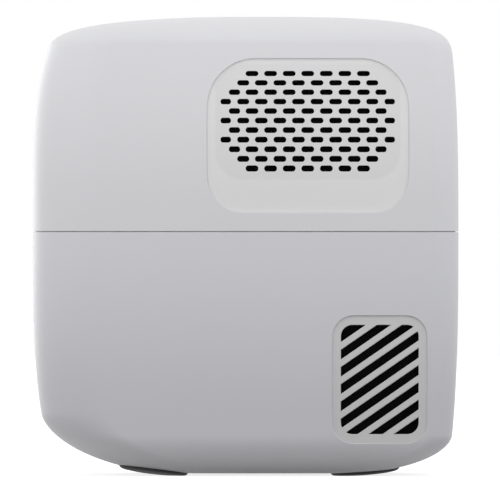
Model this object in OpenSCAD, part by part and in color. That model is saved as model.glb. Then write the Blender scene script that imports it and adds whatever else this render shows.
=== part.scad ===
// Desktop projector with a disc drive: a pillow-shaped two-shell housing, a projection
// engine below and a tray-loading disc drive above. Front is -Y, top is +Z, and the
// origin is under the middle of the housing, level with the foot pads. Millimetres.

/* [Housing] */
// Width across the two grille sides
body_w = 240; // [236:1:290]
// Depth from front to back
body_d = 200; // [196:1:240]
// Height from the foot pads to the top
body_h = 217; // [214:1:250]
// Wall thickness of both shells
wall = 3; // [2.4:0.1:3.4]
// Height of the seam between the shells, as a part of the whole height
seam_part = 0.53; // [0.518:0.002:0.538]
// Width of the shadow line at the seam
seam_gap = 0.4; // [0.3:0.1:1.2]
// Height of the lip that locates the upper shell on the lower one
seam_lip = 3; // [1.5:0.5:4]
// Radius of the two upright corners at the front
front_corner_r = 30; // [20:1:34]
// Radius of the two upright corners at the back
back_corner_r = 12; // [8:1:13]
// Radius of the crown of the sides where they lean in
side_crown_r = 200; // [180:5:400]
// Height where the sides start to lean in, as a part of the whole height
crown_part = 0.6221; // [0.576:0.0001:0.668]
// Radius of the slight crown of the sides below the seam
low_crown_r = 600; // [500:10:1200]

/* [Speaker grille] */
// Width of the recess
speaker_w = 94.4; // [90:0.1:104]
// Height of the recess, as a part of the whole height
speaker_high = 0.333; // [0.314:0.0001:0.35]
// Radius of the corners of the recess
speaker_r = 22.5; // [15:0.5:26]
// Distance of the middle of the recess from the back
speaker_back = 70.7; // [66:0.1:76]
// Height of the middle of the recess, as a part of the whole height
speaker_part = 0.738; // [0.729:0.0001:0.746]
// Depth of the recess
recess_depth = 1; // [0.6:0.1:1.4]
// Length of a full slot
slot_l = 5.8; // [4.5:0.1:6.4]
// Width of a slot
slot_w = 2.5; // [1.6:0.1:3]
// Distance between slots along a row
slot_pitch = 8.72; // [8:0.02:9.2]
// Distance between rows along the surface
slot_row_pitch = 4.53; // [4:0.01:4.8]
// Height of the middle row above the middle of the recess
slot_rise = 7; // [6:0.1:9]

/* [Vent grille] */
// Width of the recess
vent_w = 44.3; // [40:0.1:48]
// Height of the recess
vent_h = 59.9; // [54:0.1:62]
// Corner radius of the recess
vent_r = 9.9; // [6:0.1:14]
// Distance of the middle of the recess from the back
vent_back = 37; // [34:0.5:40]
// Height of the middle of the recess, as a part of the whole height
vent_part = 0.2101; // [0.203:0.0001:0.221]
// Width of the slatted window
vent_window_w = 36.3; // [30:0.1:38]
// Height of the slatted window
vent_window_h = 50.9; // [44:0.1:53]
// Corner radius of the slatted window
vent_window_r = 5.2; // [3:0.1:8]
// Distance between slats, square to them
slat_pitch = 6.67; // [6:0.01:8]
// Width of an opening between slats
slat_gap = 3.7; // [2.4:0.05:4]
// Rise of the slats towards the back, in degrees
slat_angle = 34.6; // [25:0.1:45]

/* [Front] */
// Height of the lens axis, as a part of the whole height
lens_part = 0.3134; // [0.305:0.0001:0.322]
// Radius of the lens barrel
barrel_r = 18; // [15:0.5:19]
// Wall of the sleeve around the barrel
sleeve_wall = 3; // [2:0.1:3.5]
// Wall of the focus ring
ring_wall = 4.5; // [3:0.1:5]
// Outer radius of the lens bezel
bezel_r = 32; // [30.5:0.1:33]
// Height of the middle of the tray front, as a part of the whole height
tray_part = 0.7097; // [0.706:0.0001:0.718]
// Width of the tray front
tray_front_w = 150; // [146:1:154]
// Height of the tray front
tray_front_h = 16; // [14:0.5:17]
// Height of the eject key and of the receiver window, as a part of the whole height
front_key_part = 0.811; // [0.793:0.001:0.829]

/* [Disc drive] */
// Diameter of the disc that the tray takes
disc_d = 120; // [118:0.5:121]
// Width of the tray
tray_w = 130; // [128:1:134]
// Thickness of the tray
tray_t = 6; // [5:0.5:7]
// Depth of the disc well in the tray
well_depth = 2; // [1:0.1:2.5]
// Tooth size of the rack and of its pinion
rack_module = 1; // [0.9:0.02:1.1]
// Teeth of the pinion that drives the tray
pinion_teeth = 20; // [18:1:22]
// Teeth of the wheel on the pinion
wheel_teeth = 44; // [42:1:45]
// Teeth of the small gear on the loading pulley
small_teeth = 12; // [12:1:14]
// Angle through which the traverse drops to free the tray, in degrees
drop_angle = 5.5; // [5:0.1:6]

/* [Feet and mount] */
// Thickness of the foot pads under the shell
foot_h = 1.2; // [1:0.1:2]
// Radius of a foot pad
foot_r = 16.5; // [12:0.5:18]
// Distance of the foot pads from the middle line
foot_x = 68; // [60:1:76]
// Distance of the front pads ahead of the middle
foot_front_y = 43.4; // [38:0.2:46]
// Distance of the back pads behind the middle
foot_back_y = 56.4; // [48:0.2:60]
// Bore radius of the threaded insert for a tripod
tripod_r = 3.175; // [3.175:1.6:4.775]

/* [Keys and fits] */
// Travel of a key
key_travel = 0.8; // [0.4:0.1:1]
// Gap around a key in its hole
key_gap = 0.25; // [0.15:0.05:0.4]
// Radial clearance of a shaft in its bearing
running_gap = 0.05; // [0.02:0.01:0.09]
// Gap between pieces that are clipped together
seat_gap = 0.15; // [0.1:0.01:0.25]

/* [Hidden] */
$fn = 64;
eps = 0.01;
// Places that follow the size of the housing
seam_z = body_h * seam_part;
crown_z = body_h * crown_part;
speaker_y = body_d / 2 - speaker_back;
speaker_z = body_h * speaker_part;
speaker_h = body_h * speaker_high;
vent_y = body_d / 2 - vent_back;
vent_z = body_h * vent_part;
lens_z = body_h * lens_part;
tray_z = body_h * tray_part;
front_key_z = body_h * front_key_part;

// ---------- simple solids from their limits ----------
module span(lo, hi) { translate(lo) cube(hi - lo); }
module post_x(y, z, x0, x1, r) { translate([x0, y, z]) rotate([0, 90, 0]) cylinder(r = r, h = x1 - x0); }
module post_y(x, z, y0, y1, r) { translate([x, y0, z]) rotate([-90, 0, 0]) cylinder(r = r, h = y1 - y0); }
module post_z(x, y, z0, z1, r) { translate([x, y, z0]) cylinder(r = r, h = z1 - z0); }
// An outline in (Y, Z) drawn out along X, in (X, Z) along Y, and in (X, Y) along Z
module along_x(x0, x1) { translate([x0, 0, 0]) rotate([90, 0, 90]) linear_extrude(x1 - x0) children(); }
module along_y(y0, y1) { translate([0, y1, 0]) rotate([90, 0, 0]) linear_extrude(y1 - y0) children(); }
module along_z(z0, z1) { translate([0, 0, z0]) linear_extrude(z1 - z0) children(); }
module rounded_rect(w, h, r) {
    square([w - 2 * r, h], center = true);
    square([w, h - 2 * r], center = true);
    for (sx = [-1, 1], sy = [-1, 1])
        translate([sx * (w / 2 - r), sy * (h / 2 - r)]) circle(r);
}
module stadium(l, w) {
    square([l - w, w], center = true);
    for (s = [-1, 1]) translate([s * (l - w) / 2, 0]) circle(w / 2);
}
module both_sides() {
    children();
    mirror([1, 0, 0]) children();
}

// ---------- the form of the housing ----------
// Height where the front and back are fullest
waist_z = seam_z;
// Height below which the sides draw in towards the feet
low_crown_z = waist_z - 10;
corner_steps = 9;
// Crown and corner of each profile: [crown depth, crown power, corner run, corner height, corner power]
front_top = [10.2, 2.38, 102, 15.8, 2.65];
back_top = [6.8, 4.06, 98, 11.6, 2.3];
side_top = [0, 1, 102, 14, 2.5];
front_low = [9.1, 3.55, 57.6, 29.1, 1.94];
back_low = [5.8, 3.71, 58.2, 18.9, 2.33];
side_low = [0, 1, 30, 13.5, 2.1];
// How far an arc of radius r has fallen away after a run of h
function fall(h, r) = r - sqrt(r * r - h * h);
// How far the corner form k stands in from the wall, d from its end; g is the growth of the surface
function corner_in(d, k, g) =
    let(run = k[2] + g, high = k[3] + g, v = (high - max(d, 0.02)) / high)
    v <= 0 ? 0 : run * (1 - pow(1 - pow(v, k[4]), 1 / k[4]));
function crown_in(h, full, k) = h <= 0 ? 0 : k[0] * pow(h / full, k[1]);
function end_in(z, g, top, low) = z > waist_z
    ? crown_in(z - waist_z, body_h - waist_z, top) + corner_in(body_h + g - z, top, g)
    : crown_in(waist_z - z, waist_z, low) + corner_in(z - foot_h + g, low, g);
function side_in(z, g) = z > waist_z
    ? (z > crown_z ? fall(z - crown_z, side_crown_r) : 0) + corner_in(body_h + g - z, side_top, g)
    : fall(max(0, low_crown_z - z), low_crown_r) + corner_in(z - foot_h + g, side_low, g);
function side_x(z, g) = max(4, body_w / 2 + g - side_in(z, g));
function front_y(z, g) = min(-4, -body_d / 2 - g + end_in(z, g, front_top, front_low));
function back_y(z, g) = max(4, body_d / 2 + g - end_in(z, g, back_top, back_low));
// One level of the surface: four corner arcs, counter-clockwise from the back right
function ring(z, g) =
    let(x = side_x(z, g), yf = front_y(z, g), yb = back_y(z, g),
        rb = min(back_corner_r + g + end_in(z, g, back_top, back_low) / 5, x * 0.96, yb * 0.96),
        rf = min(front_corner_r + g + end_in(z, g, front_top, front_low) / 5, x * 0.96, -yf * 0.96),
        c = [[x - rb, yb - rb, rb, 0], [rb - x, yb - rb, rb, 90],
             [rf - x, yf + rf, rf, 180], [x - rf, yf + rf, rf, 270]])
    [for (k = c) for (i = [0 : corner_steps])
        let(a = k[3] + 90 * i / corner_steps) [k[0] + k[2] * cos(a), k[1] + k[2] * sin(a), z]];
// Levels that crowd towards the end of the form, from the end to the seam
function levels(end, start, n, p) = [for (i = [0 : n]) end + (start - end) * pow(i / n, p)];
function reversed(v) = [for (i = [len(v) - 1 : -1 : 0]) v[i]];
// A closed skin through rings of equal length, closed by a flat cap at each end
module skin(rings) {
    n = len(rings[0]);
    m = len(rings);
    pts = [for (r = rings) for (p = r) p];
    faces = concat(
        [[for (i = [n - 1 : -1 : 0]) i]],
        [for (k = [0 : m - 2]) for (i = [0 : n - 1]) let(j = (i + 1) % n)
            each [[k * n + i, k * n + j, (k + 1) * n + j], [k * n + i, (k + 1) * n + j, (k + 1) * n + i]]],
        [[for (i = [0 : n - 1]) (m - 1) * n + i]]);
    polyhedron(pts, faces);
}
top_levels = 13;
low_levels = 11;
lip_t = wall / 2;
rim_top_z = seam_z + seam_gap / 2;
rim_low_z = seam_z - seam_gap / 2;
low_edge_z = levels(foot_h, rim_low_z, low_levels, 2);

// ---------- housing ----------
module top_blank() {
    outer = levels(body_h, rim_top_z, top_levels, 2.1);
    inner = levels(body_h - wall, rim_top_z + seam_lip + 1, top_levels, 2.1);
    skin(concat(
        [for (z = outer) ring(z, 0)],
        [ring(rim_top_z, seat_gap - lip_t), ring(rim_top_z + seam_lip + 1 - eps, seat_gap - lip_t)],
        reversed([for (z = inner) ring(z, -wall)])));
}
module low_blank() {
    inner = levels(foot_h + wall, rim_low_z, low_levels, 2);
    skin(concat(
        [for (z = inner) ring(z, -wall)],
        [ring(rim_top_z + seam_lip, -wall), ring(rim_top_z + seam_lip, -lip_t), ring(rim_low_z, -lip_t)],
        reversed([for (z = low_edge_z) ring(z, 0)])));
}
module speaker_outline(grow) {
    translate([speaker_y, speaker_z])
        rounded_rect(speaker_w + 2 * grow, speaker_h + 2 * grow, speaker_r + grow);
}
module vent_outline(grow) {
    translate([vent_y, vent_z]) rounded_rect(vent_w + 2 * grow, vent_h + 2 * grow, vent_r + grow);
}
module tray_slot_outline(grow) {
    translate([0, tray_z]) rounded_rect(tray_front_w + 2 * grow, tray_front_h + 2 * grow, 3 + grow);
}
module window_outline(grow) { translate([0, front_key_z]) stadium(window_w + 2 * grow, window_h + 2 * grow); }
module eject_outline(grow) {
    translate([eject_x, front_key_z]) stadium(eject_w + 2 * grow, eject_h + 2 * grow);
}
module socket_bay_outline(grow) {
    translate([0, bay_z]) rounded_rect(bay_w + 2 * grow, bay_h + 2 * grow, 4 + grow);
}
window_w = 30;
window_h = 8;
eject_w = 14;
eject_h = 6;
eject_x = -58;
bay_w = 120;
bay_h = 16;
bay_z = seam_z + 13;
panel_r = 34;
panel_y = 2.5;
cut_x = 30;
module top_shell() color("#d8d8da") difference() {
    top_blank();
    both_sides() along_x(body_w / 2 - cut_x, body_w / 2 + 1) speaker_outline(0);
    along_y(-body_d / 2 - 1, -body_d / 2 + 12) tray_slot_outline(0.6);
    along_y(-body_d / 2 - 1, -body_d / 2 + 14) {
        window_outline(seat_gap);
        eject_outline(key_gap);
    }
    along_y(body_d / 2 - 12, body_d / 2 + 1) socket_bay_outline(0);
    post_z(0, panel_y, body_h - 12, body_h + 1, panel_r + seat_gap);
}

// Bosses that carry the base frame, and the seat of the tripod insert
base_x = 58;
base_y = [-22, 26];
base_z = 12;
base_t = 2.5;
screw_r = 1.5;
screw_head_r = 3;
insert_r = tripod_r + 1.9;
insert_l = 9;
inlet_x = -52;
inlet_z = 40;
inlet_w = 22;
inlet_h = 15;
module bottom_shell() color("#cfcfd1") difference() {
    union() {
        low_blank();
        for (sx = [-1, 1], y = base_y) post_z(sx * base_x, y, foot_h + 1, base_z, 5.5);
        post_z(0, 0, foot_h + 1, foot_h + insert_l + 1.2, insert_r + 3);
    }
    for (sx = [-1, 1], y = base_y) {
        post_z(sx * base_x, y, -1, base_z + 1, screw_r + seat_gap);
        post_z(sx * base_x, y, -1, foot_h + 3.5, screw_head_r + seat_gap);
    }
    post_z(0, 0, -1, foot_h + insert_l, insert_r);
    both_sides() along_x(body_w / 2 - cut_x, body_w / 2 + 1) vent_outline(0);
    post_y(0, lens_z, -body_d / 2 - 1, -body_d / 2 + 14, bezel_r + seat_gap);
    along_y(body_d / 2 - 12, body_d / 2 + 1)
        translate([inlet_x, inlet_z])
            rounded_rect(inlet_w + 2 * seat_gap, inlet_h + 2 * seat_gap, 3 + seat_gap);
}
module rear_panel() {
    y1 = body_d / 2 - wall - seat_gap;
    y0 = y1 - 2;
    color("#3c3d40") difference() {
        along_y(y0, y1) socket_bay_outline(3);
        along_y(y0 - 1, y1 + 1) socket_places() socket_outline($socket, 0.2);
    }
}

// A slab that follows the crown of the side, out to in below the surface, cut to an outline
module crowned_slab(out, in, r, z) {
    intersection() {
        difference() {
            post_y(body_w / 2 - r, z, -body_d / 2, body_d / 2, r - out, $fn = 720);
            post_y(body_w / 2 - r, z, -body_d, body_d, r - in, $fn = 720);
        }
        along_x(body_w / 2 - cut_x, body_w / 2) children();
    }
}
// Slots of the speaker grille: eleven staggered rows whose end slots are shorter
slot_rows = 5;
slot_full = 3;
row_angle = asin((speaker_z + slot_rise - crown_z) / side_crown_r);
function row_z(j) = crown_z + side_crown_r * sin(row_angle + j * slot_row_pitch / side_crown_r * 180 / PI);
function row_reach(j) = 4.5 - 0.75 * max(0, abs(j) - 3);
module speaker_slots() {
    for (j = [-slot_rows : slot_rows]) {
        start = j % 2 == 0 ? 0.5 : 0;
        for (u = [start : row_reach(j) + 0.01], s = u == 0 ? [1] : [-1, 1]) {
            past = max(0, u - slot_full);
            translate([speaker_y - 0.1 + s * (u * slot_pitch - 0.5 * past), row_z(j)])
                stadium(slot_l - 0.9 * past, slot_w);
        }
    }
}
flange_t = 1.5;
flange_in = wall + seat_gap + flange_t;
module speaker_grille() color("#d4d4d6") difference() {
    union() {
        crowned_slab(recess_depth, flange_in, side_crown_r, crown_z) speaker_outline(-seat_gap);
        crowned_slab(wall + seat_gap, flange_in, side_crown_r, crown_z) speaker_outline(3);
    }
    along_x(body_w / 2 - cut_x - 1, body_w / 2 + 1) speaker_slots();
}
module speaker_grille_right() { speaker_grille(); }
module speaker_grille_left() { mirror([1, 0, 0]) speaker_grille(); }
slat_count = 9;
vent_flange = 2.4;
module vent_slots() {
    intersection() {
        translate([vent_y, vent_z]) rounded_rect(vent_window_w, vent_window_h, vent_window_r);
        translate([vent_y, vent_z]) rotate(slat_angle)
            for (i = [0 : slat_count - 1]) translate([0, (i - (slat_count - 1) / 2) * slat_pitch])
                square([2 * vent_window_h, slat_gap], center = true);
    }
}
module vent_grille() color("#cacacc") difference() {
    union() {
        crowned_slab(recess_depth, flange_in, low_crown_r, low_crown_z) vent_outline(-seat_gap);
        crowned_slab(wall + seat_gap, flange_in, low_crown_r, low_crown_z)
            translate([vent_y, vent_z + vent_flange])
                rounded_rect(vent_w + vent_flange, vent_h - vent_flange, vent_r);
    }
    along_x(body_w / 2 - cut_x - 1, body_w / 2 + 1) vent_slots();
}
module vent_grille_right() { vent_grille(); }
module vent_grille_left() { mirror([1, 0, 0]) vent_grille(); }

// Cloth behind the speaker grilles and foam behind the vent grilles, glued round their edges
lining_in = flange_in + 0.3;
cloth_t = 1;
foam_t = 2;
module grille_linings() color("#141415") both_sides() {
    crowned_slab(lining_in, lining_in + cloth_t, side_crown_r, crown_z) speaker_outline(-4);
    crowned_slab(lining_in, lining_in + foam_t, low_crown_r, low_crown_z) vent_outline(-3);
}

// Foot pads: discs of skin that hug the curve of the shell and are cut flat where they stand
pad_skin = foot_h + 0.4;
pad_rise = 6;
module rubber_feet() color("#2b2b2d") intersection() {
    for (sx = [-1, 1], y = [-foot_front_y, foot_back_y]) post_z(sx * foot_x, y, -1, foot_h + pad_rise, foot_r);
    difference() {
        skin(reversed([for (i = [0 : 6]) ring(foot_h - pad_skin + 9 * i * i / 36, pad_skin)]));
        skin(reversed([for (z = low_edge_z) ring(z, 0)]));
        span([-body_w, -body_d, -9], [body_w, body_d, 0]);
    }
}
module housing_screws() color("#8f9196")
    for (sx = [-1, 1], y = base_y) difference() {
        union() {
            post_z(sx * base_x, y, foot_h + 1.1, foot_h + 3.5, screw_head_r);
            post_z(sx * base_x, y, foot_h + 3.4, base_z + base_t, screw_r);
        }
        translate([sx * base_x, y, foot_h + 1]) span([-1.6, -0.4, 0], [1.6, 0.4, 1]);
        translate([sx * base_x, y, foot_h + 1]) span([-0.4, -1.6, 0], [0.4, 1.6, 1]);
    }
module tripod_insert() color("#b58e46") difference() {
    post_z(0, 0, foot_h, foot_h + insert_l, insert_r);
    post_z(0, 0, foot_h - 1, foot_h + insert_l - 1, tripod_r);
}

// ---------- frames inside ----------
deck_z = seam_z - 5;
deck_t = 2.5;
deck_top = deck_z + deck_t;
deck_post_x = 72;
deck_post_y = [42 - body_d / 2, body_d / 2 - 22];
chassis_post_x = 62;
chassis_post_y = [22 - body_d / 2, body_d / 2 - 32];
tray_low_z = tray_z - 3;
floor_t = 2;
floor_z = tray_low_z - 13;
board_z = deck_top + 9.5;
board_x = 56;
fan_size = 50;
fan_t = 15;
fan_x = body_w / 2 - 28;
engine_x = 56;
engine_h = 72;
engine_z = lens_z - engine_h / 2;
module base_frame() color("#55585c") difference() {
    union() {
        along_z(base_z, base_z + base_t) translate([0, 8]) rounded_rect(body_w - 40, body_d - 50, 12);
        for (sx = [-1, 1], y = deck_post_y) post_z(sx * deck_post_x, y, base_z + 1, deck_z, 4);
        for (sx = [-1, 1], y = [-34, 32]) post_z(sx * (engine_x - 8), y, base_z + 1, engine_z, 5);
        for (x = [power_x0 + 4, power_x1 - 5], y = [-50, 30]) post_z(x, y, base_z + 1, power_z, 3);
        span([fan_x, vent_y - 20, base_z + 1], [fan_x + 8, vent_y + 20, vent_z - fan_size / 2]);
    }
    for (sx = [-1, 1], y = base_y) post_z(sx * base_x, y, base_z - 1, base_z + base_t + 1, screw_r);
}
bracket_rise = 30;
speaker_x = side_x(speaker_z + bracket_rise, -wall) - 6;
bracket_t = 2.4;
driver_r = 28;
module middle_deck() color("#55585c") difference() {
    union() {
        along_z(deck_z, deck_top) translate([0, 6]) rounded_rect(2 * speaker_x + 2, body_d - 36, 14);
        for (sx = [-1, 1], y = chassis_post_y) post_z(sx * chassis_post_x, y, deck_top - 1, floor_z, 4);
        for (sx = [-1, 1], y = [-8, 60]) post_z(sx * (board_x - 5), y, deck_top - 1, board_z, 3);
        both_sides() along_x(speaker_x - bracket_t, speaker_x)
            translate([speaker_y, (deck_z + 1 + speaker_z + bracket_rise) / 2])
                rounded_rect(66, speaker_z + bracket_rise - deck_z - 1, 5);
    }
    both_sides() post_x(speaker_y, speaker_z, speaker_x - 5, speaker_x + 1, driver_r - 1.5);
    translate([0, 53 - body_d / 2, 0]) along_z(deck_z - 1, deck_top + 1) rounded_rect(80, 40, 6);
}

// ---------- projection engine ----------
engine_y0 = -42;
engine_y1 = 40;
engine_t = 2.5;
condenser_r = 28;
holder_y = 12;
lens_bezel_y = -body_d / 2 + wall;
ring_gap = running_gap;
sleeve_r = barrel_r + running_gap + sleeve_wall;
focus_r = sleeve_r + ring_gap + ring_wall;
module engine_housing() color("#2f3134") difference() {
    union() {
        difference() {
            span([-engine_x, engine_y0, engine_z], [engine_x, engine_y1, engine_z + engine_h]);
            span([-engine_x + engine_t, engine_y0 + engine_t, engine_z + engine_t],
                [engine_x - engine_t, engine_y1 - engine_t, engine_z + engine_h - engine_t]);
        }
        span([-engine_x + 1, holder_y, engine_z + 1], [engine_x - 1, holder_y + 2, engine_z + engine_h - 1]);
        post_y(0, lens_z, holder_y + 1, engine_y1 - 1, condenser_r + 2.5);
        for (sx = [-1, 1], sz = [-1, 1]) post_y(sx * 27, lens_z + sz * 27, engine_y1 - 1, sink_y, 3);
    }
    post_y(0, lens_z, engine_y0 - 1, engine_y0 + engine_t + 1, barrel_r + running_gap);
    post_y(0, lens_z, holder_y - 1, engine_y1 + 1, condenser_r - 3);
    post_y(0, lens_z, holder_y + 2, engine_y1 - 8, condenser_r + seat_gap);
}
module lens_sleeve() color("#1f2022") difference() {
    union() {
        post_y(0, lens_z, lens_bezel_y + 8, engine_y0, sleeve_r);
        post_y(0, lens_z, engine_y0 - 3, engine_y0, sleeve_r + 6);
        post_y(0, lens_z, lens_bezel_y + 21, lens_bezel_y + 23, focus_r - 1);
    }
    post_y(0, lens_z, lens_bezel_y, engine_y0 + 1, barrel_r + running_gap);
}
knurl_count = 36;
module focus_ring() {
    y0 = lens_bezel_y + 2;
    y1 = lens_bezel_y + 20.7;
    color("#26272a") difference() {
        union() {
            post_y(0, lens_z, y0, y1, focus_r);
            for (a = [0 : 90 : 270]) translate([0, 0, lens_z]) rotate([0, a, 0])
                post_y(focus_r - 2.2, 0, y0 - 1.2, y0 + 2, 1.8);
        }
        post_y(0, lens_z, y0 + 6, y1 + 1, sleeve_r + ring_gap);
        post_y(0, lens_z, y0 - 2, y1 + 1, barrel_r + 0.6);
        for (i = [0 : knurl_count - 1]) translate([0, 0, lens_z]) rotate([0, i * 360 / knurl_count, 0])
            post_y(focus_r + 0.5, 0, y0 + 2, y1 - 4, 1);
    }
}
module lens_bezel() color("#33353a") difference() {
    union() {
        post_y(0, lens_z, lens_bezel_y, lens_bezel_y + 18, bezel_r);
        post_y(0, lens_z, lens_bezel_y + 6, lens_bezel_y + 8, bezel_r + 4);
    }
    translate([0, lens_bezel_y - eps, lens_z]) rotate([-90, 0, 0])
        cylinder(r1 = bezel_r - 1.2, r2 = focus_r + 0.8, h = 6);
    post_y(0, lens_z, lens_bezel_y, lens_bezel_y + 19, focus_r + 0.8);
}
barrel_y0 = lens_bezel_y + 5;
barrel_y1 = engine_y0 + engine_t;
module lens_barrel() color("#17181a") difference() {
    post_y(0, lens_z, barrel_y0, barrel_y1 - 8, barrel_r);
    translate([0, barrel_y0 - eps, lens_z]) rotate([-90, 0, 0])
        cylinder(r1 = barrel_r - 1, r2 = barrel_r - 3, h = 3);
    post_y(0, lens_z, barrel_y0 - 1, barrel_y1, barrel_r - 4.5);
    post_y(0, lens_z, barrel_y0 + 2, barrel_y0 + 9, barrel_r - 3);
    post_y(0, lens_z, barrel_y1 - 14, barrel_y1, barrel_r - 3);
}
// A lens between two domes, seated between y0 and y1
module biconvex(r, y0, y1, dome) {
    big = (r * r + dome * dome) / (2 * dome);
    intersection() {
        post_y(0, lens_z, y0 - dome, y1 + dome, r);
        translate([0, y0 - dome + big, lens_z]) sphere(big, $fn = 360);
        translate([0, y1 + dome - big, lens_z]) sphere(big, $fn = 360);
    }
}
module lens_elements() color("#8fb3c8", 0.5) {
    biconvex(barrel_r - 3, barrel_y0 + 5.5, barrel_y0 + 8, 2.2);
    biconvex(barrel_r - 3, barrel_y1 - 13, barrel_y1 - 11, 2.2);
}
panel_x = engine_x - engine_t - 0.2;
panel_h = engine_h - 2 * engine_t - 0.4;
module engine_plate(y0, y1) {
    span([-panel_x, y0, lens_z - panel_h / 2], [panel_x, y1, lens_z + panel_h / 2]);
}
module lcd_panel() color("#3b4a52") engine_plate(-32, -29);
module fresnel_lenses() color("#bcd0da", 0.5) {
    engine_plate(-38, -36);
    engine_plate(-24, -22);
}
module condenser_lens() color("#9fc0d0", 0.5) {
    big = 40;
    intersection() {
        post_y(0, lens_z, holder_y + 2, holder_y + 20, condenser_r);
        translate([0, holder_y + 2 + 16 - big, lens_z]) sphere(big, $fn = 128);
    }
}
sink_y = engine_y1 + 7;
fin_count = 12;
fin_t = 1.6;
module led_module() color("#b87333") {
    span([-20, engine_y1 + 1, lens_z - 20], [20, sink_y, lens_z + 20]);
    intersection() {
        translate([0, engine_y1 + 3, lens_z]) sphere(9);
        span([-12, engine_y1 - 8, lens_z - 12], [12, engine_y1 + 2, lens_z + 12]);
    }
}
module heat_sink() color("#b9bcc0") union() {
    span([-32, sink_y, lens_z - 30], [32, sink_y + 5, lens_z + 30]);
    for (i = [0 : fin_count - 1]) {
        z = lens_z - 30 + i * (60 - fin_t) / (fin_count - 1);
        span([-32, sink_y + 4, z], [32, sink_y + 34, z + fin_t]);
    }
}
blade_count = 7;
fan_bore_r = fan_size / 2 - 1.5;
hub_r = 10.5;
module fan_frame() color("#28292b") {
    y = vent_y;
    z = vent_z;
    difference() {
        span([fan_x, y - fan_size / 2, z - fan_size / 2], [fan_x + fan_t, y + fan_size / 2, z + fan_size / 2]);
        post_x(y, z, fan_x - 1, fan_x + fan_t + 1, fan_bore_r);
        for (sy = [-1, 1], sz = [-1, 1])
            post_x(y + sy * (fan_size / 2 - 4), z + sz * (fan_size / 2 - 4), fan_x - 1, fan_x + fan_t + 1, 1.6);
    }
    difference() {
        union() {
            post_x(y, z, fan_x, fan_x + 2.5, hub_r);
            for (a = [45 : 90 : 315]) translate([0, y, z]) rotate([a, 0, 0])
                span([fan_x, hub_r - 1, -1.5], [fan_x + 2.5, fan_bore_r + 0.8, 1.5]);
        }
        post_x(y, z, fan_x - 1, fan_x + 3, 1.5 + running_gap);
    }
}
module fan_rotor() color("#1c1d1f") translate([0, vent_y, vent_z]) {
    difference() {
        post_x(0, 0, fan_x + 3.2, fan_x + fan_t - 0.6, hub_r);
        post_x(0, 0, fan_x + 3, fan_x + fan_t - 3, hub_r - 1.5);
    }
    post_x(0, 0, fan_x + 0.3, fan_x + fan_t - 2, 1.5);
    intersection() {
        post_x(0, 0, fan_x + 3.4, fan_x + fan_t - 0.8, fan_bore_r - 0.7);
        for (i = [0 : blade_count - 1]) rotate([i * 360 / blade_count, 0, 0])
            translate([fan_x + fan_t / 2 + 1.3, 0, 0]) rotate([0, 0, 38])
                span([-9, -0.7, hub_r - 0.6], [9, 0.7, fan_bore_r + 2]);
    }
}

// ---------- gears ----------
// Points along an involute flank from the base circle, as radius and turn
function inv_turn(rb, r) = r <= rb ? 0 : let(t = sqrt(r * r / (rb * rb) - 1)) t * 180 / PI - atan(t);
flank_steps = 4;
pressure = 20;
module gear_outline(teeth, m, backlash) {
    rp = m * teeth / 2;
    rb = rp * cos(pressure);
    ra = rp + m;
    rr = rp - 1.25 * m;
    r0 = max(rb, rr + 0.05);
    // half the tooth's angle where the flank leaves the base circle
    half = 90 / teeth - backlash / (2 * rp) * 90 / PI + inv_turn(rb, rp);
    polygon([for (k = [0 : teeth - 1]) let(mid = 360 * k / teeth) each concat(
        [let(a = mid - half) [rr * cos(a), rr * sin(a)]],
        [for (i = [0 : flank_steps]) let(r = r0 + (ra - r0) * i / flank_steps, a = mid - half + inv_turn(rb, r))
            [r * cos(a), r * sin(a)]],
        [for (i = [flank_steps : -1 : 0]) let(r = r0 + (ra - r0) * i / flank_steps, a = mid + half - inv_turn(rb, r))
            [r * cos(a), r * sin(a)]],
        [let(a = mid + half) [rr * cos(a), rr * sin(a)]])]);
}
// A rack along +Y with its pitch line on x = 0 and its teeth towards -X, a gap centred on y = 0
module rack_outline(y0, y1, m, back, backlash) {
    pitch = PI * m;
    slope = tan(pressure);
    tooth = pitch / 2 - backlash / 2;
    first = ceil((y0 + tooth) / pitch - 0.5);
    last = floor((y1 - tooth) / pitch - 0.5);
    polygon(concat(
        [[back, y0], [1.25 * m, y0]],
        [for (k = [first : last]) let(c = (k + 0.5) * pitch) each [
            [1.25 * m, c - tooth / 2 - 1.25 * m * slope], [-m, c - tooth / 2 + m * slope],
            [-m, c + tooth / 2 - m * slope], [1.25 * m, c + tooth / 2 + 1.25 * m * slope]]],
        [[1.25 * m, y1], [back, y1]]));
}

// ---------- disc drive ----------
mesh_gap = 0.16;
wheel_module = 0.8;
tray_x = tray_w / 2;
tray_y0 = 5 - body_d / 2;
tray_y1 = body_d / 2 - 38;
disc_y = tray_y0 + 62;
tray_top_z = tray_low_z + tray_t;
rack_x = 50;
pinion_r = rack_module * pinion_teeth / 2;
pinion_x = rack_x - pinion_r;
pinion_y = 28 - body_d / 2;
wheel_r = wheel_module * wheel_teeth / 2;
small_r = wheel_module * small_teeth / 2;
pulley_x = pinion_x - wheel_r - small_r;
motor_x = pulley_x - 34;
pulley_r = 10;
motor_pulley_r = 3.2;
axle_r = 2;
gear_z = floor_z + 3;
belt_z = floor_z + 8.8;
chassis_x = tray_x + 6;
chassis_y0 = 8 - body_d / 2;
chassis_y1 = body_d / 2 - 22;
chassis_wall = 3;
chassis_top = tray_top_z + 6;
rail_t = 2.2;
rail_gap = 0.2;
rail_l = 32;
module rail(y, z, l) { span([tray_x - 3, y, z], [chassis_x - 1, y + l, z + rail_t]); }
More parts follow.
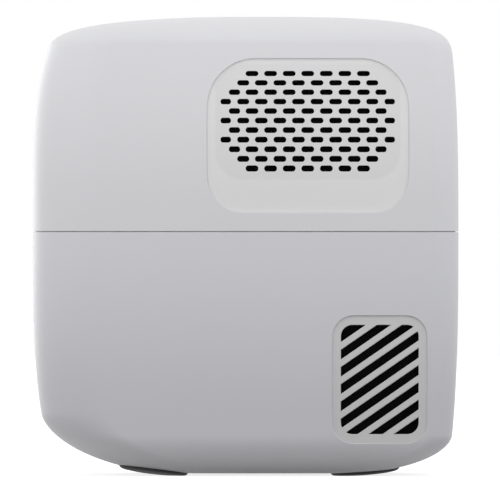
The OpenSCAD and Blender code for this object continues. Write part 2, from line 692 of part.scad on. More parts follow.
module loader_chassis() color("#3a3c40") difference() {
    union() {
        span([-chassis_x, chassis_y0, floor_z], [chassis_x, chassis_y1, floor_z + floor_t]);
        both_sides() {
            span([chassis_x - chassis_wall, chassis_y0, floor_z], [chassis_x, chassis_y1, chassis_top]);
            rail(chassis_y0, tray_low_z - rail_gap - rail_t, chassis_y1 - chassis_y0 - 4);
            rail(chassis_y0, tray_top_z + rail_gap, rail_l);
            rail(chassis_y1 - rail_l - 16, tray_top_z + rail_gap, rail_l + 12);
            span([hinge_x + 0.4, hinge_y - 5, floor_z], [hinge_x + 4.4, hinge_y + 5, hinge_z + 4]);
        }
        span([-chassis_x, chassis_y1 - chassis_wall, floor_z], [chassis_x, chassis_y1, chassis_top]);
        post_z(pinion_x, pinion_y, floor_z, belt_z + 3.6, axle_r);
        post_z(pulley_x, pinion_y, floor_z, belt_z + 3.2, 1.5);
    }
    span([-38, traverse_y0 - 4, floor_z - 1], [46, hinge_y - 6, floor_z + floor_t + 1]);
    span([-34.4, hinge_y - 7, floor_z - 1], [34.4, hinge_y + 6, floor_z + floor_t + 1]);
    post_z(motor_x, pinion_y, floor_z - 1, floor_z + 4, 10.2);
    both_sides() post_x(hinge_y, hinge_z, hinge_x, hinge_x + 6, 2 + running_gap);
}
module disc_tray() color("#2e3033") difference() {
    union() {
        span([-tray_x, tray_y0, tray_low_z], [tray_x, tray_y1, tray_top_z]);
        translate([rack_x, pinion_y, 0]) along_z(tray_low_z - 4, tray_low_z + 0.5)
            rack_outline(-8, tray_y1 - pinion_y, rack_module, 6, mesh_gap);
    }
    post_z(0, disc_y, tray_top_z - well_depth, tray_top_z + 1, disc_d / 2 + 1, $fn = 128);
    post_z(0, disc_y, tray_top_z - well_depth - 1.2, tray_top_z + 1, 41, $fn = 96);
    along_z(tray_low_z - 6, tray_top_z + 1) translate([0, disc_y + 24]) rounded_rect(38, 88, 16);
    both_sides() post_z(tray_x - 3, disc_y - 46, tray_top_z - well_depth, tray_top_z + 1, 12);
}
module tray_front() {
    y0 = -body_d / 2 + 0.7;
    color("#d3d3d5") difference() {
        along_y(y0, tray_y0) tray_slot_outline(0);
        along_y(y0 + 2, tray_y0 + 1) translate([0, tray_z]) rounded_rect(tray_front_w - 4, tray_front_h - 4, 2);
    }
    color("#d3d3d5") span([-tray_x + 8, y0 + 1.8, tray_z - 4], [tray_x - 8, tray_y0, tray_z + 4]);
}
module loading_gear() color("#e4e2da") translate([pinion_x, pinion_y, 0]) difference() {
    union() {
        along_z(gear_z, gear_z + 3) gear_outline(wheel_teeth, wheel_module, mesh_gap);
        along_z(gear_z + 3 - eps, tray_low_z - 0.4) gear_outline(pinion_teeth, rack_module, mesh_gap);
    }
    post_z(0, 0, gear_z - 1, tray_low_z, axle_r + running_gap);
    for (a = [0 : 60 : 300]) rotate(a) post_z(0.72 * wheel_r, 0, gear_z - 1, gear_z + 2, 2.4);
}
groove_depth = 1.4;
module grooved_wheel(r) {
    rotate_extrude() polygon([[0, belt_z], [r, belt_z], [r, belt_z + 0.5], [r - groove_depth, belt_z + 0.8],
        [r - groove_depth, belt_z + 2.2], [r, belt_z + 2.5], [r, belt_z + 3], [0, belt_z + 3]]);
}
// Turned half a tooth so that a gap of the small gear faces a tooth of the wheel
module loading_pulley() color("#e4e2da") translate([pulley_x, pinion_y, 0]) difference() {
    union() {
        rotate(180 / small_teeth) along_z(gear_z, belt_z + eps)
            gear_outline(small_teeth, wheel_module, mesh_gap);
        grooved_wheel(pulley_r);
    }
    post_z(0, 0, gear_z - 1, belt_z + 4, 1.5 + running_gap);
}
module motor_pulley() color("#caa24a") translate([motor_x, pinion_y, 0]) difference() {
    grooved_wheel(motor_pulley_r);
    post_z(0, 0, belt_z - 1, belt_z + 4, 0.8);
}
module loading_motor() color("#a9acb0") {
    post_z(motor_x, pinion_y, floor_z - 8, belt_z - 3, 10);
    post_z(motor_x, pinion_y, belt_z - 3 - eps, belt_z + 3.4, 0.75);
    along_z(floor_z + floor_t, floor_z + floor_t + 1) translate([motor_x, pinion_y]) stadium(30, 12);
}
// The belt runs in both grooves, with the running gap left between it and them
module belt_line(grow) {
    r1 = pulley_r - groove_depth + seat_gap + grow;
    r2 = motor_pulley_r - groove_depth + seat_gap + grow;
    span_x = pulley_x - motor_x;
    lean = asin((r1 - r2) / span_x);
    big_arc = [for (i = [-16 : 16]) let (a = i * (90 + lean) / 16) r1 * [cos(a), sin(a)]];
    small_arc = [for (i = [-8 : 8]) let (a = 180 + i * (90 - lean) / 8) r2 * [cos(a), sin(a)] - [span_x, 0]];
    polygon([for (p = big_arc) p, for (p = small_arc) p]);
}
module drive_belt() color("#161617") translate([pulley_x, pinion_y, 0]) along_z(belt_z + 1.05, belt_z + 1.95)
    difference() {
        belt_line(0.9);
        belt_line(0);
    }

// The traverse is drawn level, as when it plays, and rests lowered about its hinge
hinge_x = 34;
hinge_y = body_d / 2 - 34;
hinge_z = floor_z + 5;
plate_z = floor_z + 4;
plate_t = 2.5;
rod_x = 21;
traverse_y0 = disc_y - 19;
rod_y0 = disc_y + 11;
rod_y1 = hinge_y - 13;
rod_seat = 4;
rod_r = 1.5;
rod_z = plate_z + 5;
sled_y = disc_y + 22;
feed_module = 0.6;
feed_teeth = 24;
feed_r = feed_module * feed_teeth / 2;
feed_rack_x = 28;
feed_y = disc_y + 34;
feed_z = plate_z + plate_t + 1;
table_z = tray_top_z - well_depth + 0.6;
module lowered() {
    translate([0, hinge_y, hinge_z]) rotate([drop_angle, 0, 0]) translate([0, -hinge_y, -hinge_z]) children();
}
module traverse_frame() color("#4a4d52") lowered() {
    difference() {
        union() {
            span([-34, traverse_y0, plate_z], [43, hinge_y - 8, plate_z + plate_t]);
            both_sides() span([20, hinge_y - 9, plate_z], [33.8, hinge_y, plate_z + plate_t]);
            both_sides() post_x(hinge_y, hinge_z, 20, 33.8, 3.4);
            both_sides() post_x(hinge_y, hinge_z, 33, hinge_x + 4, 2);
            both_sides() for (y = [rod_y0, rod_y1 - rod_seat])
                span([rod_x - 3, y, plate_z + 1], [rod_x + 3, y + rod_seat, rod_z + 2.6]);
            post_z(feed_rack_x + feed_r, feed_y, plate_z + 1, feed_z + 4.4, 1.2);
        }
        span([-19, rod_y0 + 6, plate_z - 1], [19, rod_y1 - 7, plate_z + plate_t + 1]);
        post_z(0, disc_y, plate_z - 1, plate_z + plate_t + 1, 6);
        both_sides() post_y(rod_x, rod_z, rod_y0 - 1, rod_y1 + 1, rod_r);
    }
}
module guide_rods() color("#c6c8cb") lowered() both_sides() post_y(rod_x, rod_z, rod_y0, rod_y1, rod_r);
module pickup_sled() color("#2a2c30") lowered() difference() {
    union() {
        span([-rod_x - 3, sled_y - 7, plate_z + plate_t + 0.4],
            [feed_rack_x - 1.5, sled_y + 15, plate_z + 7.6]);
        post_z(0, sled_y, plate_z + 7, tray_low_z + 2.2, 6);
        post_z(0, sled_y, tray_low_z + 2, tray_low_z + 3, 3);
        span([-10, sled_y + 4, plate_z + 7], [10, sled_y + 13, tray_low_z - 0.8]);
        translate([feed_rack_x, feed_y, 0]) along_z(feed_z + 0.3, feed_z + 3.6)
            mirror([1, 0, 0]) rack_outline(-39.5, 4.5, feed_module, 3, mesh_gap);
    }
    both_sides() post_y(rod_x, rod_z, sled_y - 30, sled_y + 30, rod_r + running_gap);
    post_z(0, disc_y, plate_z, tray_low_z + 4, 16.5);
}
module feed_gear() color("#e4e2da") lowered() translate([feed_rack_x + feed_r, feed_y, 0]) difference() {
    rotate(180) along_z(feed_z, feed_z + 4) gear_outline(feed_teeth, feed_module, mesh_gap);
    post_z(0, 0, feed_z - 1, feed_z + 5, 1.2 + running_gap);
}
spindle_r = 1;
module spindle_motor() color("#9fa2a6") lowered() difference() {
    union() {
        post_z(0, disc_y, plate_z - 5, plate_z, 12.5);
        post_z(0, disc_y, plate_z - eps, plate_z + 4, 5.5);
    }
    post_z(0, disc_y, plate_z - 4, plate_z + 5, spindle_r + running_gap);
}
module turntable() color("#202124") lowered() translate([0, disc_y, 0]) {
    rotate_extrude() polygon([[0, plate_z + 4.4], [6, plate_z + 4.4], [6, table_z - 2.4], [15, table_z - 2.4],
        [15, table_z], [7.6, table_z], [7.4, table_z + 0.8], [5.4, table_z + 2.4], [0, table_z + 2.4]]);
    post_z(0, 0, plate_z - 3.6, plate_z + 4.6, spindle_r);
}
bridge_z = chassis_top;
module clamp_bridge() color("#3f4246") difference() {
    union() {
        span([-chassis_x, disc_y - 18, bridge_z], [chassis_x, disc_y + 18, bridge_z + 2]);
        post_z(0, disc_y, bridge_z, bridge_z + 2, 22);
    }
    post_z(0, disc_y, bridge_z - 1, bridge_z + 3, 13.4);
}
module clamp_puck() color("#d9d7cf") translate([0, disc_y, 0]) difference() {
    rotate_extrude() polygon([[0, bridge_z - 3], [15, bridge_z - 3], [15, bridge_z - 1.2],
        [12.8, bridge_z - 1.2], [12.8, bridge_z + 2.3], [16, bridge_z + 2.3],
        [16, bridge_z + 4], [0, bridge_z + 4]]);
    post_z(0, 0, bridge_z - 4, bridge_z - 1, 8);
}

// ---------- sound and electronics ----------
// The driver takes its depth from the room between its bracket and the disc drive
driver_l = 0.68 * (speaker_x - chassis_x);
basket_l = driver_l * 0.64;
magnet_r = 17;
coil_r = 8;
module driver_cup(x, r1, r2, l) {
    translate([x, speaker_y, speaker_z]) rotate([0, -90, 0]) cylinder(r1 = r1, r2 = r2, h = l);
}
module speaker_frame() color("#303236") difference() {
    union() {
        along_x(speaker_x, speaker_x + 2.5) translate([speaker_y, speaker_z]) rounded_rect(60, 60, 6);
        driver_cup(speaker_x, driver_r - 2, magnet_r, basket_l);
        post_x(speaker_y, speaker_z, speaker_x - driver_l, speaker_x - basket_l + 1, magnet_r);
    }
    driver_cup(speaker_x + 2.6, driver_r - 2.4, magnet_r - 4, basket_l + 0.6);
}
module speaker_cone() color("#1b1c1e") difference() {
    union() {
        driver_cup(speaker_x + 1.5, driver_r - 3.2, coil_r, basket_l - 4);
        post_x(speaker_y, speaker_z, speaker_x - basket_l + 2, speaker_x - basket_l + 6, coil_r);
    }
    driver_cup(speaker_x + 1.6, driver_r - 4.4, coil_r - 1.4, basket_l - 4.6);
}
module speaker_frame_right() { speaker_frame(); }
module speaker_frame_left() { mirror([1, 0, 0]) speaker_frame(); }
module speaker_cone_right() { speaker_cone(); }
module speaker_cone_left() { mirror([1, 0, 0]) speaker_cone(); }
board_t = 1.6;
board_y0 = -12;
board_y1 = body_d / 2 - 16;
module main_board() color("#24573a") {
    difference() {
        span([-board_x, board_y0, board_z], [board_x, board_y1, board_z + board_t]);
        for (sx = [-1, 1], y = chassis_post_y) post_z(sx * chassis_post_x, y, board_z - 1, board_z + 3, 7);
    }
    span([-12, 20, board_z + board_t], [12, 44, board_z + board_t + 3]);
    for (x = [-36, 30]) span([x, 6, board_z + board_t], [x + 12, 16, board_z + board_t + 1.4]);
    for (x = [-40, -28, 34]) post_z(x, 50, board_z + board_t, board_z + board_t + 6, 3);
}
power_z = base_z + base_t + 8;
power_x0 = 22 - body_w / 2;
power_x1 = -board_x - 5;
module power_board() color("#7a5a2c") {
    span([power_x0, -52, power_z], [power_x1, 38, power_z + board_t]);
    span([power_x0 + 4, -20, power_z + board_t], [power_x1 - 5, 4, power_z + 22]);
    for (y = [-44, -30]) post_z((power_x0 + power_x1) / 2, y, power_z + board_t, power_z + 26, 6);
    span([power_x0 + 6, 14, power_z + board_t], [power_x1 - 7, 17, power_z + 30]);
}
// Signal sockets: two video, two data and two round jacks in a row
module socket_places() {
    for (s = [["video", -46], ["video", -24], ["data", -2], ["data", 17], ["jack", 34], ["jack", 46]])
        let($socket = s[0]) translate([s[1], bay_z]) children();
}
module socket_outline(kind, grow) {
    if (kind == "video") polygon([[-7.5 - grow, 3 + grow], [7.5 + grow, 3 + grow], [7.5 + grow, -0.6],
        [5.6 + grow, -3 - grow], [-5.6 - grow, -3 - grow], [-7.5 - grow, -0.6]]);
    if (kind == "data") square([14.4 + 2 * grow, 7 + 2 * grow], center = true);
    if (kind == "jack") circle(3.6 + grow);
}
module signal_sockets() color("#a5a8ad") {
    y1 = body_d / 2 - wall - seat_gap - 0.3;
    y0 = y1 - 14;
    difference() {
        along_y(y0, y1) socket_places() socket_outline($socket, 0);
        along_y(y0 + 2, y1 + 1) socket_places() {
            if ($socket == "video") offset(delta = -0.6) socket_outline("video", 0);
            if ($socket == "data") square([13, 5.6], center = true);
            if ($socket == "jack") circle(1.8);
        }
    }
    along_y(y0 + 1, y1 - 1.5) socket_places() {
        if ($socket == "video") square([9, 1.2], center = true);
        if ($socket == "data") translate([0, 1.4]) square([11, 1.8], center = true);
    }
    along_y(y0, y0 + 8) socket_places() translate([0, (board_z + board_t - bay_z - 2.8) / 2])
        square([8, bay_z - board_z - board_t - 2.8], center = true);
}
module mains_inlet() color("#1d1e20") {
    y1 = back_y(inlet_z, 0) - 1;
    difference() {
        union() {
            along_y(y1 - 20, y1) translate([inlet_x, inlet_z]) rounded_rect(inlet_w, inlet_h, 3);
            along_y(y1 - 6, y1 - 3) translate([inlet_x, inlet_z]) rounded_rect(inlet_w + 6, inlet_h + 6, 4);
        }
        along_y(y1 - 14, y1 + 1) translate([inlet_x, inlet_z]) stadium(18, 9.4);
    }
    for (s = [-1, 1]) post_y(inlet_x + s * 4.3, inlet_z, y1 - 15, y1 - 3, 1.2);
}

// ---------- keys ----------
panel_low = body_h - wall - 3;
panel_sunk = 0.25;
dome_r = 800;
dome_steps = 6;
ok_r = 7.5;
arrow_r0 = 9;
arrow_r1 = 18;
arrow_half = 38;
power_key_x = 25.5;
power_key_r = 4.5;
// A piece of a ring between two radii, half degrees either side of the direction turn
module ring_piece(r0, r1, half, turn) {
    rotate(turn) intersection() {
        difference() {
            circle(r1, $fn = 96);
            circle(r0, $fn = 96);
        }
        polygon([[0, 0], [2 * r1 * cos(half), -2 * r1 * sin(half)], [2 * r1 * cos(half), 2 * r1 * sin(half)]]);
    }
}
module key_holes(grow) {
    circle(ok_r + grow);
    for (t = [0 : 90 : 270]) ring_piece(arrow_r0 - grow, arrow_r1 + grow, arrow_half + grow * 2.2, t);
    translate([power_key_x, 0]) circle(power_key_r + grow);
}
// All that lies under the slight dome of the top, sunk below it
module domed(sunk, r) {
    rotate_extrude() polygon(concat([[0, panel_low - 12], [r, panel_low - 12]],
        [for (i = [dome_steps : -1 : 0]) let(x = r * i / dome_steps) [x, body_h - sunk - fall(x, dome_r)]]));
}
module control_panel() color("#b9babd") translate([0, panel_y, 0]) {
    difference() {
        union() {
            intersection() {
                post_z(0, 0, panel_low + 1, body_h, panel_r + 1);
                domed(panel_sunk, panel_r);
            }
            post_z(0, 0, panel_low, body_h - wall - 0.9, panel_r + 3);
        }
        along_z(panel_low - 1, body_h + 1) key_holes(key_gap);
    }
    for (a = [135, 225, 315]) rotate(a) post_z(28, 0, key_board_z + board_t, panel_low + 1, 2);
}
key_board_z = panel_low - 8;
key_switch_h = 3;
module key_board() color("#24573a") translate([0, panel_y, 0]) {
    post_z(0, 0, key_board_z, key_board_z + board_t, 31);
    for (p = [[0, 0], [13.5, 0], [-13.5, 0], [0, 13.5], [0, -13.5], [power_key_x, 0]])
        translate(p) span([-2.5, -2.5, key_board_z + board_t],
            [2.5, 2.5, key_board_z + board_t + key_switch_h]);
}
key_stem_z = key_board_z + board_t + key_switch_h + key_travel + 0.2;
module key() {
    intersection() {
        along_z(panel_low - 1.5, body_h + 1) children(0);
        domed(0, panel_r - 1);
    }
    along_z(panel_low - 1.9, panel_low - 0.3) children(1);
}
module arrow_key(turn) color("#8d8f93") translate([0, panel_y, 0]) {
    key() {
        ring_piece(arrow_r0, arrow_r1, arrow_half, turn);
        ring_piece(arrow_r0 + 0.6, arrow_r1 + 0.8, arrow_half + 2, turn);
    }
    rotate(turn) post_z(13.5, 0, key_stem_z, panel_low - 1, 1.8);
}
module arrow_up_key() { arrow_key(90); }
module arrow_down_key() { arrow_key(270); }
module arrow_left_key() { arrow_key(180); }
module arrow_right_key() { arrow_key(0); }
module ok_key() color("#77797d") translate([0, panel_y, 0]) {
    key() {
        circle(ok_r);
        circle(ok_r + 0.8);
    }
    post_z(0, 0, key_stem_z, panel_low - 1, 1.8);
}
module power_key() color("#77797d") translate([0, panel_y, 0]) {
    key() {
        translate([power_key_x, 0]) circle(power_key_r);
        translate([power_key_x, 0]) circle(power_key_r + 1.2);
    }
    post_z(power_key_x, 0, key_stem_z, panel_low - 1, 1.8);
}
front_wall_y = front_y(front_key_z, 0);
module eject_key() color("#8d8f93") {
    along_y(front_wall_y - 0.4, front_wall_y + wall + 1.5) eject_outline(0);
    along_y(front_wall_y + wall + 0.6, front_wall_y + wall + 2) eject_outline(1.4);
}
module receiver_window() color("#1a1416") {
    along_y(front_wall_y + 0.2, front_wall_y + wall + 2.8) window_outline(0);
    along_y(front_wall_y + wall + 1.6, front_wall_y + wall + 2.8) window_outline(2);
}

top_shell();
bottom_shell();
rear_panel();
speaker_grille_right();
speaker_grille_left();
vent_grille_right();
vent_grille_left();
lens_bezel();
control_panel();
receiver_window();
rubber_feet();
base_frame();
middle_deck();
housing_screws();
tripod_insert();
engine_housing();
lens_sleeve();
focus_ring();
lens_barrel();
lens_elements();
lcd_panel();
fresnel_lenses();
condenser_lens();
led_module();
heat_sink();
fan_frame();
fan_rotor();
loader_chassis();
disc_tray();
tray_front();
loading_gear();
loading_pulley();
drive_belt();
motor_pulley();
loading_motor();
traverse_frame();
guide_rods();
pickup_sled();
feed_gear();
spindle_motor();
turntable();
clamp_bridge();
clamp_puck();
speaker_frame_right();
speaker_frame_left();
speaker_cone_right();
speaker_cone_left();
main_board();
power_board();
key_board();
signal_sockets();
mains_inlet();
power_key();
arrow_up_key();
arrow_down_key();
arrow_left_key();
arrow_right_key();
ok_key();
eject_key();
grille_linings();
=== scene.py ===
# %% [markdown]
# # A desktop projector with a disc drive
#
# A pillow-shaped housing of two pale shells stands on four rubber pads. Each side has a
# speaker grille of staggered slots and a vent with slanted slats, the front has a lens in
# a dark bezel and a disc tray above it, and the top has a round panel of keys.
#
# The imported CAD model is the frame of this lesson: it gives every piece its place and
# every body its motion. Blender adds what is seen, which is the smooth skin of the
# shells, the rounded lips of every opening and the finish of each material.

import math
from contextlib import contextmanager
from functools import partialmethod

import bmesh
import bpy
import numpy as np
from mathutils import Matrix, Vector


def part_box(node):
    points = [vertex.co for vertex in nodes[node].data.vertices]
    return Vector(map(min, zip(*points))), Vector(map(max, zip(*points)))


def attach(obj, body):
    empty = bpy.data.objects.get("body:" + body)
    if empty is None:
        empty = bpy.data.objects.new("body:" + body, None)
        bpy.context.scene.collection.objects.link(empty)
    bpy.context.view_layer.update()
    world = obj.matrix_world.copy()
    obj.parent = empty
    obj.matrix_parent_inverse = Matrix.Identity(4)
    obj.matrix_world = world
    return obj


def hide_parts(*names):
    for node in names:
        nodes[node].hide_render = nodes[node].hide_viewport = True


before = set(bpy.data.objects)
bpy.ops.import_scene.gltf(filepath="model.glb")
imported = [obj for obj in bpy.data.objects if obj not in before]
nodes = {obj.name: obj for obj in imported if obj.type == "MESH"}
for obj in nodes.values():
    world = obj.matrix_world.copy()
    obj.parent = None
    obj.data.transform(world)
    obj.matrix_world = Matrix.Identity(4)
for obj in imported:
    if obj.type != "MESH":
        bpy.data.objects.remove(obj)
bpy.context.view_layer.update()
MM = 0.001

# %% [markdown]
# ## Camera
#
# The photograph looks square at one side, from the height of its middle, with almost no
# perspective. A long lens far away gives that flat view. The focal length follows from
# the distance and from how many millimetres one pixel of the picture spans.

# %% Camera
PIXELS = 500
MM_PER_PIXEL = 0.4717
CAMERA_FAR, CAMERA_Y, CAMERA_Z = 11.0, 0.0021, 0.1064
SIDE_X = 0.060


def show(data, name=None):
    """An object at the origin for a mesh, a lamp or a camera."""
    piece = bpy.data.objects.new(name or data.name, data)
    bpy.context.scene.collection.objects.link(piece)
    return piece


lens_data = bpy.data.cameras.new("long_lens")
lens_data.sensor_width = 36
lens_data.lens = 36 * (CAMERA_FAR - SIDE_X) / (PIXELS * MM_PER_PIXEL * MM)
lens_data.clip_end = 30
camera = show(lens_data, "camera")
camera.location = (CAMERA_FAR, CAMERA_Y, CAMERA_Z)
camera.rotation_euler = (math.radians(90), 0, math.radians(90))
bpy.context.scene.camera = camera
bpy.context.scene.view_settings.view_transform = "Standard"
print("focal length in mm:", round(lens_data.lens))

# %% [markdown]
# ## Node trees
#
# Light, materials and the cutting of the grilles are all node trees, and much of each
# tree is arithmetic. A small class lets that be written as a formula: every sign in the
# formula becomes one Math node.


# %% Helpers for node trees
class Number:
    """A number in a node tree, on which the signs + - * / % < > make Math nodes."""

    def __init__(self, tree, socket):
        self.tree, self.socket = tree, socket

    def by(self, operation, *others):
        """This number and others, put through an operation of the Math node."""
        return maths(self.tree, operation, self, *others)

    def __rsub__(self, other):
        return maths(self.tree, "SUBTRACT", other, self)

    __add__, __sub__ = partialmethod(by, "ADD"), partialmethod(by, "SUBTRACT")
    __mul__, __truediv__ = partialmethod(by, "MULTIPLY"), partialmethod(by, "DIVIDE")
    __mod__, __abs__ = partialmethod(by, "MODULO"), partialmethod(by, "ABSOLUTE")
    __lt__, __gt__ = partialmethod(by, "LESS_THAN"), partialmethod(by, "GREATER_THAN")


def add(tree, kind, inputs=None, **settings):
    """A node in a tree, with its settings and with values or links for its inputs."""
    made = tree.nodes.new(kind)
    for name, value in settings.items():
        setattr(made, name, value)
    for key, value in (inputs or {}).items():
        value = value.socket if isinstance(value, Number) else value
        if isinstance(value, bpy.types.NodeSocket):
            tree.links.new(value, made.inputs[key])
        else:
            made.inputs[key].default_value = value
    return made


def numbers(tree, sockets):
    """The named sockets of a node as numbers."""
    return {socket.name: Number(tree, socket) for socket in sockets if socket.name}


def maths(tree, operation, *values):
    """The result of a Math node on numbers or sockets."""
    node = add(tree, "ShaderNodeMath", dict(enumerate(values)), operation=operation)
    return Number(tree, node.outputs[0])


def xyz(tree, vector):
    """The three numbers of a vector."""
    return [Number(tree, s) for s in add(tree, "ShaderNodeSeparateXYZ", {0: vector}).outputs]


def combined(tree, x=0.0, y=0.0, z=0.0):
    """A vector of three numbers."""
    return add(tree, "ShaderNodeCombineXYZ", {0: x, 1: y, 2: z}).outputs[0]


def object_place(tree):
    """Where a point lies on its object, which goes along with a moving body."""
    return add(tree, "ShaderNodeTexCoord").outputs["Object"]


def hypotenuse(a, b):
    """How long a step is that goes a one way and b square to it."""
    return (a * a + b * b).by("SQRT")


def between(value, low, high):
    """A mask that is one where a value lies between two numbers."""
    return (value > low) * (value < high)


def ramp(tree, value, stops):
    """A colour ramp through stops, given as (place, (red, green, blue))."""
    made = add(tree, "ShaderNodeValToRGB", {0: value})
    for _ in stops[2:]:
        made.color_ramp.elements.new(1.0)
    for stop, (where, tone) in zip(made.color_ramp.elements, stops):
        stop.position, stop.color = where, (*tone, 1)
    return made.outputs[0]


def plain_rays(tree):
    """One for rays from the camera, and for those that mirror or pass through glass."""
    path = numbers(tree, add(tree, "ShaderNodeLightPath").outputs)
    return path["Is Camera Ray"].by(
        "MAXIMUM", path["Is Glossy Ray"].by("MAXIMUM", path["Is Transmission Ray"]))


# %% [markdown]
# ## Light
#
# The housing is lit as in a light tent: bright all round, a little dimmer overhead and
# much dimmer from below, so a pale surface shades softly from top to bottom. The world
# gives that gradient to diffuse rays. Rays from the camera, and rays that mirror or pass
# through glass, see plain white, so the background stays clean. One soft lamp behind the
# front corner draws the bright line along the front edge.

# %% Light tent
TENT_STOPS = [(0.45, (0.45, 0.46, 0.49)), (0.52, (0.99, 0.99, 1.0)), (1.0, (0.84, 0.84, 0.855))]
TENT_STRENGTH = 1.20

world = bpy.data.worlds.new("light_tent")
bpy.context.scene.world = world
world.use_nodes = True
tent = world.node_tree
tent.nodes.clear()
height = xyz(tent, add(tent, "ShaderNodeTexCoord").outputs["Generated"])[2]
gradient = ramp(tent, height.by("MULTIPLY_ADD", 0.5, 0.5), TENT_STOPS)
soft = add(tent, "ShaderNodeBackground", {"Color": gradient, "Strength": TENT_STRENGTH})
white = add(tent, "ShaderNodeBackground", {"Color": (1, 1, 1, 1), "Strength": 1.0})
mixed = add(tent, "ShaderNodeMixShader",
            {0: plain_rays(tent), 1: soft.outputs[0], 2: white.outputs[0]})
add(tent, "ShaderNodeOutputWorld", {0: mixed.outputs[0]})

# %% Lamp for the front edge
LAMP_AT, LAMP_AIM, LAMP_SIZE, LAMP_POWER = (-1.05, -0.80, 0.25), (0, -0.05, 0.12), 0.7, 4.5

lamp_data = bpy.data.lights.new("front_edge", "AREA")
lamp_data.size = LAMP_SIZE
lamp_data.energy = LAMP_POWER
soft_box = show(lamp_data)
soft_box.location = LAMP_AT
aim = Vector(LAMP_AIM) - Vector(LAMP_AT)
soft_box.rotation_euler = aim.to_track_quat("-Z", "Y").to_euler()

# %% [markdown]
# ## Floor
#
# The product stands on a plain pale table. The camera sees the table mostly as its own
# white light with a share of real shading, so the contact shadow of the pads stays but
# the rest melts into the background. For the light that bounces up from it, the table is
# painted darker in a band round the product, a painted shadow that only bounced light
# sees. That deepens the lower part of the sides and leaves their upper part bright.

# %% Floor
TABLE_HALF, TABLE_GREY, TABLE_GLOW = 12.0, 0.42, 0.80
FOOTPRINT_X, FOOTPRINT_Y = 0.12, 0.10
SHADOW_BAND_REACH = 0.5
SHADOW_BAND_STOPS = [(0.0, 0.55), (0.03, 0.28), (0.06, 0.06), (0.22, 0.06), (0.50, 0.75), (1.0, 0.8)]

floor_mesh = bpy.data.meshes.new("table_top")
floor_mesh.from_pydata([(x * TABLE_HALF, y * TABLE_HALF, 0)
                        for x, y in ((-1, -1), (1, -1), (1, 1), (-1, 1))], [], [(0, 1, 2, 3)])
table_top = show(floor_mesh)
table_finish = bpy.data.materials.new("pale_table")
table_finish.use_nodes = True
pale = table_finish.node_tree
pale.nodes.clear()
shaded = add(pale, "ShaderNodeBsdfDiffuse", {"Color": (TABLE_GREY, TABLE_GREY, TABLE_GREY, 1)})
glow = add(pale, "ShaderNodeEmission", {"Color": (1, 1, 1, 1), "Strength": TABLE_GLOW})
both = add(pale, "ShaderNodeAddShader", {0: shaded.outputs[0], 1: glow.outputs[0]})
# Painted shadow for bounced light only: the grey is darkest a little way out from the footprint, a
# little lighter right at it, and pale far away.
past_x, past_y = ((abs(v) - edge).by("MAXIMUM", 0.0)
                  for v, edge in zip(xyz(pale, object_place(pale)), (FOOTPRINT_X, FOOTPRINT_Y)))
painted_shadow_band = ramp(pale, hypotenuse(past_x, past_y) * (1 / SHADOW_BAND_REACH),
            [(where, (grey, grey, grey)) for where, grey in SHADOW_BAND_STOPS])
bounced = add(pale, "ShaderNodeBsdfDiffuse", {"Color": painted_shadow_band})
mixed = add(pale, "ShaderNodeMixShader",
            {0: plain_rays(pale), 1: bounced.outputs[0], 2: both.outputs[0]})
add(pale, "ShaderNodeOutputMaterial", {0: mixed.outputs[0]})
floor_mesh.materials.append(table_finish)

# %% [markdown]
# ## Finishes
#
# Every moulded plastic here comes out of a spark-eroded steel mould, which leaves a fine
# even grain. A photograph at this distance shows it only as a soft sheen, and a close
# view shows the grain. One shader group makes the grain and a faint cloudiness of the
# colour, and each material places it with its own scale.


# %% Shader groups
def shader_group(name, inputs, outputs):
    """A shader group with named sockets, the numbers it is given, and Object coordinates."""
    group = bpy.data.node_groups.new(name, "ShaderNodeTree")
    for title, kind, start in inputs:
        made = group.interface.new_socket(title, in_out="INPUT", socket_type="NodeSocket" + kind)
        made.default_value = start
    for title in outputs:
        group.interface.new_socket(title, in_out="OUTPUT", socket_type="NodeSocketFloat")
    given = numbers(group, add(group, "NodeGroupInput").outputs)
    return group, given, object_place(group)


def noise(tree, vector, scale, detail):
    """Soft noise around one half."""
    inputs = {"Vector": vector, "Scale": scale, "Detail": detail}
    return Number(tree, add(tree, "ShaderNodeTexNoise", inputs).outputs[0])


def grain_group():
    """Fine moulded grain: a height for a Bump node and a cloudy mask for the colour."""
    group, given, where = shader_group("moulded_grain", [
        ("Scale", "Float", 2600.0), ("Cloud Scale", "Float", 14.0)], ["Height", "Cloud"])
    add(group, "NodeGroupOutput", {"Height": noise(group, where, given["Scale"], 2.0),
                                   "Cloud": noise(group, where, given["Cloud Scale"], 3.0)})
    return group


GRAIN = grain_group()


# %% Colours and finishes
GRAIN_DEEP = 0.00003


def srgb(value):
    """A display value from 0 to 255 as linear light."""
    v = value / 255
    return v / 12.92 if v <= 0.04045 else ((v + 0.055) / 1.055) ** 2.4


def colour(tone, share=1.0):
    """A share of a colour picked on screen, as the linear colour that a shader takes."""
    return (*(min(1, srgb(value) * share) for value in tone), 1)


def finish(name, tone, rough, cloud=0.03, grain=0.15, scale=2600.0, edge=0.0, **sockets):
    """A material: colour with a faint cloudiness, grain bump, rounded edges, and constants
    for the Principled BSDF's own sockets."""
    material = bpy.data.materials.new(name)
    material.use_nodes = True
    tree = material.node_tree
    shader = tree.nodes["Principled BSDF"].inputs
    texture = add(tree, "ShaderNodeGroup", {"Scale": scale}, node_tree=GRAIN).outputs
    tint = add(tree, "ShaderNodeMix", {
        0: texture["Cloud"], 6: colour(tone, 1 - cloud), 7: colour(tone, 1 + cloud)},
        data_type="RGBA")
    tree.links.new(tint.outputs[2], shader["Base Color"])
    bump = add(tree, "ShaderNodeBump", {
        "Height": texture["Height"], "Strength": grain, "Distance": GRAIN_DEEP})
    if edge:
        rounded = add(tree, "ShaderNodeBevel", {"Radius": edge}, samples=4)
        tree.links.new(rounded.outputs[0], bump.inputs["Normal"])
    tree.links.new(bump.outputs[0], shader["Normal"])
    shader["Roughness"].default_value = rough
    for key, value in sockets.items():
        shader[key.replace("_", " ")].default_value = value
    return material


